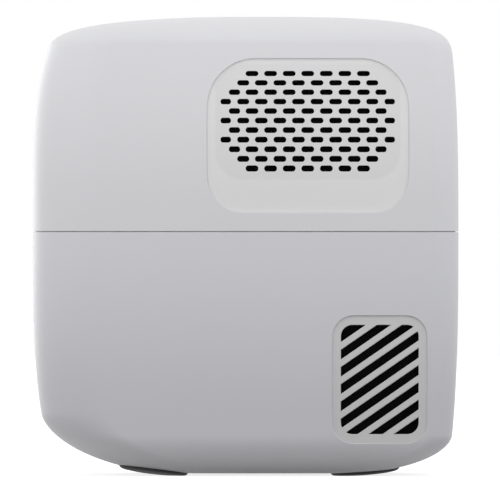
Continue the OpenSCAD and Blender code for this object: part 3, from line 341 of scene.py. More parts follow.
def pale_plastic(name, *tone):
    """The finish of the housing, in a tone of its own."""
    return finish("pale_plastic_" + name, tone, 0.50, cloud=0.012, IOR=1.46)


SHELL_UPPER = pale_plastic("upper", 213, 213, 215)
SHELL_LOWER = pale_plastic("lower", 210, 210, 213)
DARK_TRIM = finish("dark_satin_plastic", (48, 49, 52), 0.42, edge=0.0003)
print("first finishes:", [m.name for m in (SHELL_UPPER, SHELL_LOWER, DARK_TRIM)])

# %% [markdown]
# ## The form of the housing
#
# The housing is a pillow. Its outline at any height is a rectangle with round corners,
# and three profiles say how far the front, the back and the sides have drawn in at that
# height: a slow crown over the whole height, and a fast superellipse near each end. The
# CAD source builds it in the same way. Here the profiles are sampled far more finely, so
# the light runs over the skin without a facet, and their numbers are fitted once more to
# the outline in the photograph, which moves the skin by up to about 2 mm.

# %% Profiles of the housing, in millimetres
BODY_W, BODY_D, BODY_H = 240.0, 200.0, 217.0
FOOT_H, WALL, WAIST, CROWN_Z = 1.2, 3.0, BODY_H * 0.53, BODY_H * 0.6221
LENS_Z, TRAY_Z, KEY_Z = BODY_H * 0.3134, BODY_H * 0.7097, BODY_H * 0.811
LOW_CROWN_Z = WAIST - 10
CORNER_FRONT, CORNER_BACK = 30.0, 12.0
SIDE_CROWN_R, LOW_CROWN_R = 200.0, 600.0
SEAM_GAP, SEAM_LIP, LIP, SEAT = 0.4, 3.0, 1.5, 0.15
# Each end: depth and power of the slow crown, then run, height and power of the corner
FRONT_TOP, FRONT_LOW = (15.0, 4.66, 110, 16.5, 2.91), (11.3, 3.6, 55.2, 28.5, 1.83)
BACK_TOP, BACK_LOW = (5.1, 3.1, 110, 20.4, 3.49), (5.1, 3.1, 48, 18.5, 1.95)
SIDE_TOP, SIDE_LOW = (0, 1, 102, 14, 2.5), (0, 1, 30, 18, 2.1)


def fall(h, r):
    """How far an arc of radius r has fallen away after a run of h."""
    h = np.maximum(h, 0)
    return r - np.sqrt(r * r - h * h)


def corner_in(d, k, g):
    """How far the rounding of an end stands in, d from that end, on a skin grown by g."""
    run, high = k[2] + g, k[3] + g
    v = np.clip((high - d) / high, 0, 1)
    return run * (1 - (1 - v ** k[4]) ** (1 / k[4]))


def both_corners(z, g, up, down, top, low):
    """A crown above and below the waist, with the corner of its end added to each."""
    return np.where(z > WAIST, up + corner_in(BODY_H + g - z, top, g),
                    down + corner_in(z - FOOT_H + g, low, g))


def end_in(z, g, top, low):
    """How far the front or the back has drawn in at height z."""
    up = top[0] * (np.maximum(z - WAIST, 0) / (BODY_H - WAIST)) ** top[1]
    down = low[0] * (np.maximum(WAIST - z, 0) / WAIST) ** low[1]
    return both_corners(z, g, up, down, top, low)


def side_in(z, g):
    """How far the sides have drawn in at height z."""
    return both_corners(z, g, fall(z - CROWN_Z, SIDE_CROWN_R), fall(LOW_CROWN_Z - z, LOW_CROWN_R),
                        SIDE_TOP, SIDE_LOW)


def section(z, g=0.0):
    """Half width, front, back and the two corner radii of the outline at height z."""
    x = np.maximum(4, BODY_W / 2 + g - side_in(z, g))
    front_in, back_in = end_in(z, g, FRONT_TOP, FRONT_LOW), end_in(z, g, BACK_TOP, BACK_LOW)
    front = np.minimum(-4, -BODY_D / 2 - g + front_in)
    back = np.maximum(4, BODY_D / 2 + g - back_in)
    r_back = np.minimum.reduce([CORNER_BACK + g + back_in / 5, x * 0.96, back * 0.96])
    r_front = np.minimum.reduce([CORNER_FRONT + g + front_in / 5, x * 0.96, -front * 0.96])
    return x, front, back, r_front, r_back


print("section at the waist:", [round(float(v), 2) for v in section(np.float64(WAIST))])

# %% [markdown]
# A skin is lofted through the outlines, as a hull is planked over its frames. The same
# outline, read the other way round, tells how far any point lies outside the skin. Its
# slope is the exact direction the skin faces there, which is used below to shade the
# shells after holes have been cut in them.

# %% Loft and distance
CORNER_STEPS = 20


def quarter(cx, cy, r, start, steps):
    """Points on a quarter of a circle that starts at an angle in degrees."""
    turns = [math.radians(start + 90 * i / steps) for i in range(steps + 1)]
    return [(cx + r * math.cos(a), cy + r * math.sin(a)) for a in turns]


def ring(z, g=0.0):
    """One outline of the skin, anticlockwise from above."""
    x, front, back, rf, rb = (float(v) for v in section(np.float64(z), g))
    corners = [(x - rb, back - rb, rb, 0), (rb - x, back - rb, rb, 90),
               (rf - x, front + rf, rf, 180), (x - rf, front + rf, rf, 270)]
    return [(*point, z) for corner in corners for point in quarter(*corner, CORNER_STEPS)]


def distance(points, g=0.0):
    """How far points in millimetres lie outside the skin, measured in their own level."""
    x, y, z = points[:, 0], points[:, 1], points[:, 2]
    hx, front, back, rf, rb = section(z, g)
    ax = np.abs(x)
    flat = np.maximum.reduce([ax - hx, y - back, front - y])
    in_back = (ax > hx - rb) & (y > back - rb)
    in_front = (ax > hx - rf) & (y < front + rf)
    at_back = np.hypot(ax - hx + rb, y - back + rb) - rb
    at_front = np.hypot(ax - hx + rf, y - front - rf) - rf
    return np.where(in_back, at_back, np.where(in_front, at_front, flat))


def facing(points, step=0.02):
    """Unit direction in which the skin faces at points on it."""
    slope = np.zeros_like(points)
    for axis in range(3):
        ahead, behind = points.copy(), points.copy()
        ahead[:, axis] += step
        behind[:, axis] -= step
        if axis == 2:
            ahead[:, 2] = np.minimum(ahead[:, 2], BODY_H - 1e-4)
            behind[:, 2] = np.maximum(behind[:, 2], FOOT_H + 1e-4)
        gap = np.maximum(ahead[:, axis] - behind[:, axis], 1e-6)
        slope[:, axis] = (distance(ahead) - distance(behind)) / gap
    return slope / np.maximum(np.linalg.norm(slope, axis=1, keepdims=True), 1e-9)


def loft(name, rings):
    """A closed mesh through rings of equal length, capped at both ends, in metres."""
    n = len(rings[0])
    faces = [tuple(range(n))]
    for k in range(len(rings) - 1):
        for i in range(n):
            j = (i + 1) % n
            faces.append((k * n + i, (k + 1) * n + i, (k + 1) * n + j, k * n + j))
    faces.append(tuple((len(rings) - 1) * n + i for i in reversed(range(n))))
    mesh = bpy.data.meshes.new(name)
    mesh.from_pydata([tuple(c * MM for c in p) for r in rings for p in r], [], faces)
    mesh.validate()
    return mesh


@contextmanager
def opened(mesh):
    """A mesh opened for the tools of bmesh, and written back after them."""
    work = bmesh.new()
    work.from_mesh(mesh)
    yield work
    work.to_mesh(mesh)
    work.free()


def turned_out(mesh):
    """A closed mesh with all its faces turned outwards."""
    with opened(mesh) as work:
        bmesh.ops.recalc_face_normals(work, faces=work.faces)
    return mesh


# %% [markdown]
# Each shell is one closed skin: down the outside, round the lip of the seam and back up
# the inside. The edge at the seam is rounded by a fifth of a millimetre, because a sharp
# moulded edge does not exist and the little round catches the light as a fine line.

# %% Blanks of the two shells
EDGE = 0.2
ROUND = [math.radians(a) for a in (0, 22.5, 45, 67.5, 90)]
TOP_RIM, LOW_RIM = WAIST + SEAM_GAP / 2, WAIST - SEAM_GAP / 2


def levels(end, start, count, power):
    """Heights from end to start that crowd towards end."""
    return [end + (start - end) * (i / count) ** power for i in range(count + 1)]


def top_blank():
    """The upper shell before its openings are cut."""
    rings = [ring(z) for z in levels(BODY_H, TOP_RIM + EDGE, 64, 2.3)[:-1]]
    rings += [ring(TOP_RIM + EDGE * (1 - math.sin(a)), -EDGE * (1 - math.cos(a))) for a in ROUND]
    rings += [ring(TOP_RIM, SEAT - LIP), ring(TOP_RIM + SEAM_LIP + 1, SEAT - LIP)]
    inside = levels(BODY_H - WALL, TOP_RIM + SEAM_LIP + 1.01, 24, 2.1)
    return loft("upper_shell", rings + [ring(z, -WALL) for z in reversed(inside)])


def low_blank():
    """The lower shell before its openings are cut."""
    rings = [ring(z, -WALL) for z in levels(FOOT_H + WALL, LOW_RIM, 24, 2.0)]
    rings += [ring(TOP_RIM + SEAM_LIP, -WALL), ring(TOP_RIM + SEAM_LIP, -LIP), ring(LOW_RIM, -LIP)]
    rings += [ring(LOW_RIM - EDGE * (1 - math.sin(a)), -EDGE * (1 - math.cos(a)))
              for a in reversed(ROUND)]
    outside = levels(FOOT_H, LOW_RIM - EDGE, 64, 2.2)[:-1]
    return loft("lower_shell", rings + [ring(z) for z in reversed(outside)])


upper, lower = show(top_blank()), show(low_blank())
print("faces of the blanks:", len(upper.data.polygons), len(lower.data.polygons))

# %% [markdown]
# ## Openings
#
# Every opening is cut by a plug. Where the plug meets the skin it flares like a trumpet,
# so the cut leaves a rounded lip. The plug is lofted through outlines: wide outside,
# narrowing through a quarter round, then straight down through the wall.


# %% Outlines and plugs
def arc(cx, cy, r, start, end, steps, inner=False):
    """Points on an arc, with both ends or, if inner, without them."""
    turns = range(1, steps) if inner else range(steps + 1)
    return [(cx + r * math.cos(start + (end - start) * i / steps),
             cy + r * math.sin(start + (end - start) * i / steps)) for i in turns]


def rounded_rect(w, h, r, grow=0.0, middle=(0, 0), steps=10, low_r=None):
    """A rectangle with round corners, grown by grow, as points anticlockwise."""
    w, h, upper_r, lower_r = w + 2 * grow, h + 2 * grow, r + grow, (low_r or r) + grow
    points = []
    for sx, sy, start in ((1, 1, 0), (-1, 1, 90), (-1, -1, 180), (1, -1, 270)):
        r = upper_r if sy > 0 else lower_r
        cx, cy = middle[0] + sx * (w / 2 - r), middle[1] + sy * (h / 2 - r)
        points += quarter(cx, cy, r, start, steps)
    return points


def disc(r, grow=0.0, middle=(0, 0), steps=96):
    """A circle, grown by grow, as points anticlockwise."""
    return arc(*middle, r + grow, 0, 2 * math.pi, steps)[:-1]


def arc_end(end, r, past):
    """Where an end with a corner of radius r stands, past the start of that corner."""
    return end - r + np.sqrt(np.maximum(r * r - np.maximum(past, 0) ** 2, 0))


def skin_at(axis, sign, u, v):
    """Where the skin is met along an axis, above points (u, v) of the other two."""
    if axis == "z":
        low, high = np.full_like(u, WAIST), np.full_like(u, BODY_H if sign > 0 else FOOT_H)
        for _ in range(32):
            mid = (low + high) / 2
            outside = distance(np.stack([u, v, mid], axis=1)) > 0
            low, high = np.where(outside, low, mid), np.where(outside, mid, high)
        return low
    hx, front, back, rf, rb = section(v)
    if axis == "y":
        r, end = (rf, -front) if sign < 0 else (rb, back)
        return arc_end(end, r, np.abs(u) - hx + r)
    return np.where(u > 0, arc_end(hx, rb, u - back + rb), arc_end(hx, rf, front + rf - u))


def place(axis, sign, points, deep):
    """The points deep below the skin, on lines along the axis over points (u, v)."""
    u, v = np.array(points, dtype=float).T
    at = skin_at(axis, sign, u, v)
    columns = {"x": (sign * (at - deep), u, v), "y": (u, sign * (at - deep), v),
               "z": (u, v, at - deep * sign)}[axis]
    return np.stack(columns, axis=1).tolist()


def flared(flare, through, turns, margin, outside, lead):
    """Steps (grow, deep) of a cutter: wide outside, then a quarter round, then straight down.
    A margin keeps the wide part off the lip, and a lead raises its end above the lip."""
    lip = [(flare * (1 - math.cos(a)), flare * (1 - math.sin(a))) for a in map(math.radians, turns)]
    wide, top = lip[0][0] + margin, lip[0][1]
    return [(wide, -outside), (wide, top - lead), *lip, (0.0, through)]


PLUG_MOUTH = dict(turns=(72, 54, 36, 18, 0), margin=0.25, outside=6.0, lead=0.081)


def plug(name, outline, axis, sign, through, flare=0.45):
    """A cutter with a flared mouth at the skin. outline(grow) gives its points."""
    steps = flared(flare, through, **PLUG_MOUTH)
    return turned_out(loft(name, [place(axis, sign, outline(g), deep) for g, deep in steps]))


def plain_mesh(piece):
    """The mesh of a piece with its modifiers applied."""
    ready = piece.evaluated_get(bpy.context.evaluated_depsgraph_get())
    return bpy.data.meshes.new_from_object(ready)


def cut(piece, cutters):
    """Takes cutters away from a piece by an exact boolean, and leaves a plain mesh."""
    joined = bpy.data.meshes.new("cutters")
    with opened(joined) as work:
        for cutter in cutters:
            work.from_mesh(cutter)
    tool = show(joined)
    modifier = piece.modifiers.new("cut", "BOOLEAN")
    modifier.operation, modifier.solver, modifier.object = "DIFFERENCE", "EXACT", tool
    result = plain_mesh(piece)
    piece.modifiers.clear()
    piece.data = result
    result.name = piece.name
    bpy.data.objects.remove(tool)


# %% [markdown]
# A cut leaves long thin faces, which shade badly if Blender averages them. So the shading
# direction is given one by one: on the skin it is the exact direction from the profiles,
# and elsewhere it is the average over the neighbours that bend by less than 40 degrees.


# %% Shading directions
ON_SKIN = 0.004


def read(items, name, kind=float, width=1):
    """A property of all items of a mesh, as an array with a row for each."""
    values = np.empty(len(items) * width, kind)
    items.foreach_get(name, values)
    return values.reshape(-1, width) if width > 1 else values


def shade(mesh, skin=None, bend=40.0):
    """Writes the normal of every face corner. skin has the functions of a distance and a
    direction at points."""
    vertex = read(mesh.loops, "vertex_index", np.int32)
    points = read(mesh.vertices, "co", width=3) / MM
    face_normal, area = read(mesh.polygons, "normal", width=3), read(mesh.polygons, "area")
    face_of = np.repeat(np.arange(len(area)), read(mesh.polygons, "loop_total", np.int32))
    order = np.argsort(vertex, kind="stable")
    starts = np.searchsorted(vertex[order], np.arange(len(mesh.vertices) + 1))
    normals = np.empty((len(vertex), 3))
    limit = math.cos(math.radians(bend))
    for v in range(len(mesh.vertices)):
        corners = order[starts[v]:starts[v + 1]]
        own = face_normal[face_of[corners]]
        near = (own @ own.T) >= limit
        total = (near * area[face_of[corners]][None, :]) @ own
        normals[corners] = total / np.maximum(np.linalg.norm(total, axis=1, keepdims=True), 1e-12)
    if skin is not None:
        on = np.abs(skin[0](points)) < ON_SKIN
        exact = np.zeros_like(points)
        exact[on] = skin[1](points[on])
        use = on[vertex] & ((face_normal[face_of] * exact[vertex]).sum(1) > limit)
        normals[use] = exact[vertex][use]
    mesh.polygons.foreach_set("use_smooth", [True] * len(mesh.polygons))
    mesh.normals_split_custom_set(normals.tolist())
    mesh.update()


def seat(piece, body, replaced=None, material=None, skin=None, bend=50.0):
    """Finishes a piece: its material, its shading, and its place on a body of the frame."""
    if material:
        piece.data.materials.clear()
        piece.data.materials.append(material)
    shade(piece.data, skin, bend)
    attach(piece, body)
    if replaced:
        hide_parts(replaced)


# %% [markdown]
# The upper shell has openings for both speaker grilles, the tray, the receiver window,
# the eject key, the sockets at the back and the key panel. The lower shell has openings
# for both vents, the lens bezel, the mains inlet, four screws and the tripod thread.

# %% Outlines of the openings
SPEAKER = dict(w=94.4, h=BODY_H * 0.333, r=22.5, middle=(29.3, BODY_H * 0.738), low_r=17.0)
VENT = dict(w=44.3, h=59.9, r=9.9, middle=(63.0, BODY_H * 0.2101))
PANEL_Y = 2.5
SCREW_XS, SCREW_YS = (-58, 58), (-22, 26)


def speaker_outline(grow):
    return rounded_rect(grow=grow, steps=14, **SPEAKER)


def vent_outline(grow):
    return rounded_rect(grow=grow, steps=12, **VENT)


def tray_outline(grow, steps=10):
    return rounded_rect(150, 16, 3, grow, (0, TRAY_Z), steps)


def window_outline(grow):
    return rounded_rect(30, 8, 3.99, grow, (0, KEY_Z))


def eject_outline(grow):
    return rounded_rect(14, 6, 2.99, grow, (-58, KEY_Z))


# %% Cutting both shells
def open_up(piece, cutters, material, replaced):
    """Cuts the openings of a shell and seats it."""
    cut(piece, cutters)
    seat(piece, "housing", replaced, material, (distance, facing), 40.0)
    print(piece.name, "faces:", len(piece.data.polygons))


open_up(upper, [
    plug("speaker_plug", speaker_outline, "x", 1, 30),
    plug("speaker_plug", speaker_outline, "x", -1, 30),
    plug("tray_plug", lambda g: tray_outline(g + 0.6), "y", -1, 14, 0.5),
    plug("window_plug", lambda g: window_outline(g + 0.15), "y", -1, 16, 0.3),
    plug("eject_plug", lambda g: eject_outline(g + 0.25), "y", -1, 20, 0.3),
    plug("socket_plug", lambda g: rounded_rect(120, 16, 4, g, (0, WAIST + 13)), "y", 1, 12, 0.5),
    plug("panel_plug", lambda g: disc(34.15, g, (0, PANEL_Y), 128), "z", 1, 14, 0.5),
], SHELL_UPPER, "top_shell")
open_up(lower, [
    plug("vent_plug", vent_outline, "x", 1, 30),
    plug("vent_plug", vent_outline, "x", -1, 30),
    plug("bezel_plug", lambda g: disc(32.15, g, (0, LENS_Z), 128), "y", -1, 14, 0.5),
    plug("inlet_plug", lambda g: rounded_rect(22.3, 15.3, 3.15, g, (-52, 40)), "y", 1, 12, 0.3),
    plug("thread_plug", lambda g: disc(5.0, g, (0, 0), 48), "z", -1, 12, 0.3),
    *(plug("screw_plug", lambda g, at=(x, y): disc(3.15, g, at, 32), "z", -1, 12, 0.3)
      for x in SCREW_XS for y in SCREW_YS),
], SHELL_LOWER, "bottom_shell")

# %% [markdown]
# ## Speaker grilles
#
# The grille is one moulded plate with eleven staggered rows of short slots, and the slots
# near its ends are shorter. The plate stands a millimetre below the housing and follows
# its crown. A grid of slots is a rule, so Geometry Nodes place them: points on a line are
# sent to their rows by their index, a slot cutter is instanced on each, and one exact
# boolean cuts them all. The plate is cut while it is flat and is then bent to the crown,
# so every slot keeps walls that run straight out to the side.


# %% Helpers for geometry trees
def geometry_tree(name, sockets):
    """A geometry tree with named inputs, given as (name, kind, starting value)."""
    tree = bpy.data.node_groups.new(name, "GeometryNodeTree")
    tree.interface.new_socket("Geometry", in_out="INPUT", socket_type="NodeSocketGeometry")
    tree.interface.new_socket("Geometry", in_out="OUTPUT", socket_type="NodeSocketGeometry")
    for title, kind, start in sockets:
        made = tree.interface.new_socket(title, in_out="INPUT", socket_type="NodeSocket" + kind)
        if start is not None:
            made.default_value = start
    return tree, numbers(tree, add(tree, "NodeGroupInput").outputs)


def shaped(tree, kind, inputs, **settings):
    """The geometry that a node makes."""
    return add(tree, "GeometryNode" + kind, inputs, **settings).outputs["Geometry"]


def index_of(tree):
    """The number of each point, from 0."""
    return Number(tree, add(tree, "GeometryNodeInputIndex").outputs[0])


def cut_and_bent(tree, given, cutters, sign):
    """Ends a tree: cuts the plate, bends it inwards past a height on an arc, and makes it
    real geometry with its material, as the export needs it."""
    plate = add(tree, "GeometryNodeMeshBoolean", {"Mesh 1": given["Geometry"], "Mesh 2": cutters},
                operation="DIFFERENCE", solver="EXACT").outputs[0]
    z = xyz(tree, add(tree, "GeometryNodeInputPosition").outputs[0])[2]
    radius = given["Crown Radius"]
    past = ((z - given["Crown Height"]) * sign).by("MAXIMUM", 0.0)
    inwards = (radius * radius - past * past).by("SQRT") - radius
    bent = shaped(tree, "SetPosition", {"Geometry": plate, "Offset": combined(tree, x=inwards)})
    real = shaped(tree, "RealizeInstances", {"Geometry": bent})
    done = shaped(tree, "SetMaterial", {"Geometry": real, "Material": given["Material"]})
    add(tree, "NodeGroupOutput", {"Geometry": done})


def grow(name, mesh, tree, values):
    """The plain mesh that a tree makes from a mesh, with its inputs set by name."""
    piece = show(mesh)
    modifier = piece.modifiers.new("nodes", "NODES")
    modifier.node_group = tree
    for item in tree.interface.items_tree:
        if item.in_out == "INPUT" and item.name in values:
            modifier[item.identifier] = values[item.name]
    result = plain_mesh(piece)
    bpy.data.objects.remove(piece)
    result.name = name
    return result


# %% Plates and cutters, drawn flat
GRILLE_TOP = BODY_W / 2 - 1.0
PLATE_STEPS = [(-0.02, 0.0), (-0.02, 2.15), (3.0, 2.15), (3.0, 3.65)]
SLOT_MOUTH = dict(turns=(66, 44, 22, 0), margin=0.15, outside=1.0, lead=0.06)


def flat_loft(name, outline, top, steps):
    """A loft through outlines (y, z) at depths below the flat side of a plate."""
    return loft(name, [[(top - deep, y, z) for y, z in outline(g)] for g, deep in steps])


def flat_plate(name, outline, top, steps, strip):
    """A plate lofted through outlines at depths, in strips of a height in millimetres."""
    mesh = flat_loft(name, outline, top, steps)
    with opened(mesh) as work:
        low_z = min(v.co.z for v in work.verts)
        high_z = max(v.co.z for v in work.verts)
        count = max(2, round((high_z - low_z) / (strip * MM)))
        for i in range(1, count):
            bmesh.ops.bisect_plane(work, geom=work.verts[:] + work.edges[:] + work.faces[:],
                                   plane_co=(0, 0, low_z + (high_z - low_z) * i / count),
                                   plane_no=(0, 0, 1), dist=1e-7)
    return turned_out(mesh)


def flat_cutter(name, outline, flare, through):
    """A cutter with a flared mouth at the flat face of a plate, shown for use in a tree."""
    steps = flared(flare, through, **SLOT_MOUTH)
    return show(turned_out(flat_loft(name, outline, GRILLE_TOP, steps)))


SLOT_L, SLOT_H = 6.0, 2.65
speaker_plate = flat_plate("speaker_plate", speaker_outline, GRILLE_TOP, PLATE_STEPS, 2.0)
slot_shape = flat_cutter(
    "slot_cutter", lambda g: rounded_rect(SLOT_L, SLOT_H, 1.32, g, steps=7), 0.12, 6)
print("plate faces:", len(speaker_plate.polygons), "slot faces:", len(slot_shape.data.polygons))

# %% Tree of the slotted grille
FULL_SLOTS, END_PULL, END_SHORTER = 3.0, 0.0005, 0.12
FULL_ROWS, ROW_REACH, ROW_SHORTER, ROW_FLATTER = 3.0, 4.51, 0.75, 0.015


def slotted_grille():
    """Cuts staggered rows of slots in a flat plate and bends it to the crown."""
    tree, given = geometry_tree("slotted_grille", [
        ("Slot", "Object", None), ("Columns", "Int", 19), ("Rows", "Int", 11),
        ("Middle Y", "Float", 0.0292), ("Pitch", "Float", 0.00872), ("Row Pitch", "Float", 0.00453),
        ("First Angle", "Float", 0.1617), ("Crown Radius", "Float", 0.2),
        ("Crown Height", "Float", 0.135), ("Material", "Material", None)])
    columns, radius = given["Columns"], given["Crown Radius"]
    line = add(tree, "GeometryNodeMeshLine", {"Count": columns * given["Rows"]}, mode="OFFSET")
    index = index_of(tree)
    k = index % columns - (columns - 1.0) * 0.5
    j = (index / columns).by("FLOOR") - (given["Rows"] - 1.0) * 0.5
    # Along a row: half pitches from the middle, drawn together past the last full slot
    reach = abs(k) * 0.5
    past = (reach - FULL_SLOTS).by("MAXIMUM", 0.0)
    y = k.by("SIGN") * (reach * given["Pitch"] - past * END_PULL) + given["Middle Y"]
    # Rows are evenly spaced along the arc of the crown
    turn = j * (given["Row Pitch"] / radius) + given["First Angle"]
    z = turn.by("SINE") * radius + given["Crown Height"]
    spots = shaped(tree, "SetPosition", {
        "Geometry": line.outputs[0], "Position": combined(tree, y=y, z=z)})
    # Every second place of a row is kept, and outer rows are shorter
    staggered = abs(k + j) % 2.0
    limit = ROW_REACH - (abs(j) - FULL_ROWS).by("MAXIMUM", 0.0) * ROW_SHORTER
    size = combined(tree, 1.0, 1.0 - past * END_SHORTER, 1.0 - j * ROW_FLATTER)
    slots = add(tree, "GeometryNodeInstanceOnPoints", {
        "Points": spots, "Selection": (reach < limit) * (staggered > 0.5), "Scale": size,
        "Instance": shaped(tree, "ObjectInfo", {"Object": given["Slot"]})}).outputs[0]
    cut_and_bent(tree, given, shaped(tree, "RealizeInstances", {"Geometry": slots}), 1.0)
    return tree


# %% Shading and seating of grilles
def grille_skin(radius, start, sign):
    """Distance and direction of a crowned face, for shade()."""
    def past(points):
        return np.maximum((points[:, 2] - start) * sign, 0)

    def away(points):
        return np.abs(points[:, 0]) - GRILLE_TOP + fall(past(points), radius)

    def faces(points):
        slope = past(points) / np.sqrt(radius ** 2 - past(points) ** 2) * sign
        out = np.stack([np.sign(points[:, 0]), np.zeros(len(points)), slope], axis=1)
        return out / np.linalg.norm(out, axis=1, keepdims=True)
    return away, faces


def mirrored(name, mesh):
    """A mesh mirrored to the left side, with its faces turned the right way out again."""
    other = mesh.copy()
    other.name = name
    with opened(other) as work:
        bmesh.ops.scale(work, vec=(-1, 1, 1), verts=work.verts)
        bmesh.ops.reverse_faces(work, faces=work.faces)
    return other


def both_grilles(kind, mesh, skin):
    """The right and left grille of a kind, seated on the housing."""
    for side, plate in (("right", mesh), ("left", mirrored(kind + "_left", mesh))):
        piece = show(plate)
        piece.name = kind + "_" + side
        seat(piece, "housing", kind + "_" + side, skin=skin)
    print(kind, "faces:", len(mesh.polygons))


# %% Grow the speaker grilles
GRILLE = pale_plastic("grille", 221, 220, 219)
SLOTS_UP = 7.0
first_angle = math.asin((SPEAKER["middle"][1] + SLOTS_UP - CROWN_Z) / SIDE_CROWN_R)
speaker_mesh = grow("speaker_grille_right", speaker_plate, slotted_grille(), {
    "Slot": slot_shape, "First Angle": first_angle, "Crown Height": CROWN_Z * MM,
    "Material": GRILLE})
bpy.data.objects.remove(slot_shape)
both_grilles("speaker_grille", speaker_mesh, grille_skin(SIDE_CROWN_R, CROWN_Z, 1))

# %% [markdown]
# ## Vent grilles
#
# The vent has slanted slats in a window with round corners. Bars as wide as the openings
# are set out along a line across the slats, trimmed to the window by one boolean and cut
# from the plate by another. The first and the last bar are wider, so that their openings
# fill the corners of the window. Both the bars and the window flare at the face, so the
# edges of the slats come out rounded.

# %% Tree of the slatted vent
BAR_L, BAR_W, WINDOW_W, WINDOW_H, WINDOW_R = 110.0, 3.75, 36.5, 51.3, 5.4
END_BAR_OUT, END_BAR_WIDER = 0.0014, 0.72


def slatted_vent():
    """Cuts slanted openings, trimmed to a window, in a flat plate and bends it."""
    tree, given = geometry_tree("slatted_vent", [
        ("Bar", "Object", None), ("Window", "Object", None), ("Count", "Int", 9),
        ("Pitch", "Float", 0.00667), ("Angle", "Float", math.radians(34.6)),
        ("Middle", "Vector", None), ("Crown Radius", "Float", 0.6),
        ("Crown Height", "Float", 0.105), ("Material", "Material", None)])
    half = (given["Count"] - 1.0) * -0.5
    line = add(tree, "GeometryNodeMeshLine", {
        "Count": given["Count"], "Start Location": combined(tree, z=half * given["Pitch"]),
        "Offset": combined(tree, z=given["Pitch"])}, mode="OFFSET")
    k = index_of(tree) + half
    last = abs(k) > half * -1.0 - 0.5
    outwards = combined(tree, z=last * k.by("SIGN") * END_BAR_OUT)
    spots = shaped(tree, "SetPosition", {"Geometry": line.outputs[0], "Offset": outwards})
    bars = add(tree, "GeometryNodeInstanceOnPoints", {
        "Points": spots, "Instance": shaped(tree, "ObjectInfo", {"Object": given["Bar"]}),
        "Scale": combined(tree, 1.0, 1.0, last.by("MULTIPLY_ADD", END_BAR_WIDER, 1.0))}).outputs[0]
    bars = shaped(tree, "RealizeInstances", {"Geometry": bars})
    bars = shaped(tree, "Transform", {"Geometry": bars, "Translation": given["Middle"],
                                      "Rotation": combined(tree, x=given["Angle"])})
    trim = add(tree, "GeometryNodeMeshBoolean", operation="INTERSECT", solver="EXACT")
    for shape in (bars, shaped(tree, "ObjectInfo", {"Object": given["Window"]})):
        tree.links.new(shape, trim.inputs["Mesh 2"])
    cut_and_bent(tree, given, trim.outputs[0], -1.0)
    return tree


# %% Grow the vent grilles
VENT_GRILLE = pale_plastic("vent", 210, 209, 209)
vent_flange = dict(w=VENT["w"] + 2.4, h=VENT["h"] - 2.4, r=VENT["r"],
                   middle=(VENT["middle"][0], VENT["middle"][1] + 2.4))


def vent_plate_outline(g):
    """The plate inside the recess, and its flange behind the wall."""
    return vent_outline(g) if g < 1 else rounded_rect(grow=0.0, steps=12, **vent_flange)


vent_plate = flat_plate("vent_plate", vent_plate_outline, GRILLE_TOP, PLATE_STEPS, 3.0)
bar_shape = flat_cutter("bar_cutter", lambda g: rounded_rect(BAR_L, BAR_W, 0.2, g, steps=2), 0.3, 6)
window_shape = flat_cutter("window_cutter", lambda g: rounded_rect(
    WINDOW_W, WINDOW_H, WINDOW_R, g, VENT["middle"], 9), 0.3, 5)
vent_mesh = grow("vent_grille_right", vent_plate, slatted_vent(), {
    "Bar": bar_shape, "Window": window_shape, "Middle": Vector((0, *VENT["middle"])) * MM,
    "Crown Height": LOW_CROWN_Z * MM, "Material": VENT_GRILLE})
for shape in (bar_shape, window_shape):
    bpy.data.objects.remove(shape)
both_grilles("vent_grille", vent_mesh, grille_skin(LOW_CROWN_R, LOW_CROWN_Z, -1))

# %% [markdown]
# ## Effects for the other pieces
#
# The pieces inside and round the openings are of many materials, but only a few effects
# make them: the lines that turning, grinding or extruding leaves, a woven cloth, the
# tracks of a circuit board, and rings round an axis. Each effect is a group that puts out
# a height or a mask, and a material joins it to its own colours.


# %% Groups for lines, rings, weave and tracks
THREAD_GAP = 0.45
RUN_SHARE, RUN_SCALE, TRACK_HALF = 0.13, 0.9, 0.22
TIN_SCALE, TIN_SPREAD, TIN_R = 260.0, 0.35, 0.16


def vector_math(tree, operation, *vectors):
    """The outputs of a Vector Math node on vectors."""
    return add(tree, "ShaderNodeVectorMath", dict(enumerate(vectors)), operation=operation).outputs


def tool_lines():
    """Fine lines left by a tool: noise drawn out along the directions with a small stretch."""
    group, given, where = shader_group("tool_lines", [("Stretch", "Vector", (1, 1, 1))], ["Height"])
    drawn = vector_math(group, "MULTIPLY", where, given["Stretch"])[0]
    add(group, "NodeGroupOutput", {"Height": noise(group, drawn, 1.0, 3.0)})
    return group


def axis_rings():
    """Distance from an axis in millimetres, and a wave of rings with a pitch."""
    group, given, where = shader_group("axis_rings", [
        ("Centre", "Vector", (0, 0, 0)), ("Across", "Vector", (1, 1, 0)),
        ("Pitch", "Float", 1.0)], ["Radius", "Wave"])
    off = vector_math(group, "SUBTRACT", where, given["Centre"])[0]
    flat = vector_math(group, "MULTIPLY", off, given["Across"])[0]
    radius = Number(group, vector_math(group, "LENGTH", flat)["Value"]) * 1000.0
    wave = (radius * (2 * math.pi) / given["Pitch"]).by("SINE")
    add(group, "NodeGroupOutput", {"Radius": radius, "Wave": wave.by("MULTIPLY_ADD", 0.5, 0.5)})
    return group


def woven_cloth():
    """Plain weave across y and z: the height of the threads and the gaps between them."""
    group, given, where = shader_group("woven_cloth", [
        ("Threads", "Float", 900.0)], ["Height", "Gap"])
    across, up = (v * given["Threads"] for v in xyz(group, where)[1:])
    turn = abs((across.by("FLOOR") + up.by("FLOOR")) % 2.0)
    warp, weft = (abs((v * math.pi).by("SINE")) for v in (across, up))
    height = add(group, "ShaderNodeMix", {0: turn, 2: warp, 3: weft}).outputs[0]
    add(group, "NodeGroupOutput", {"Height": height, "Gap": warp.by("MAXIMUM", weft) < THREAD_GAP})
    return group


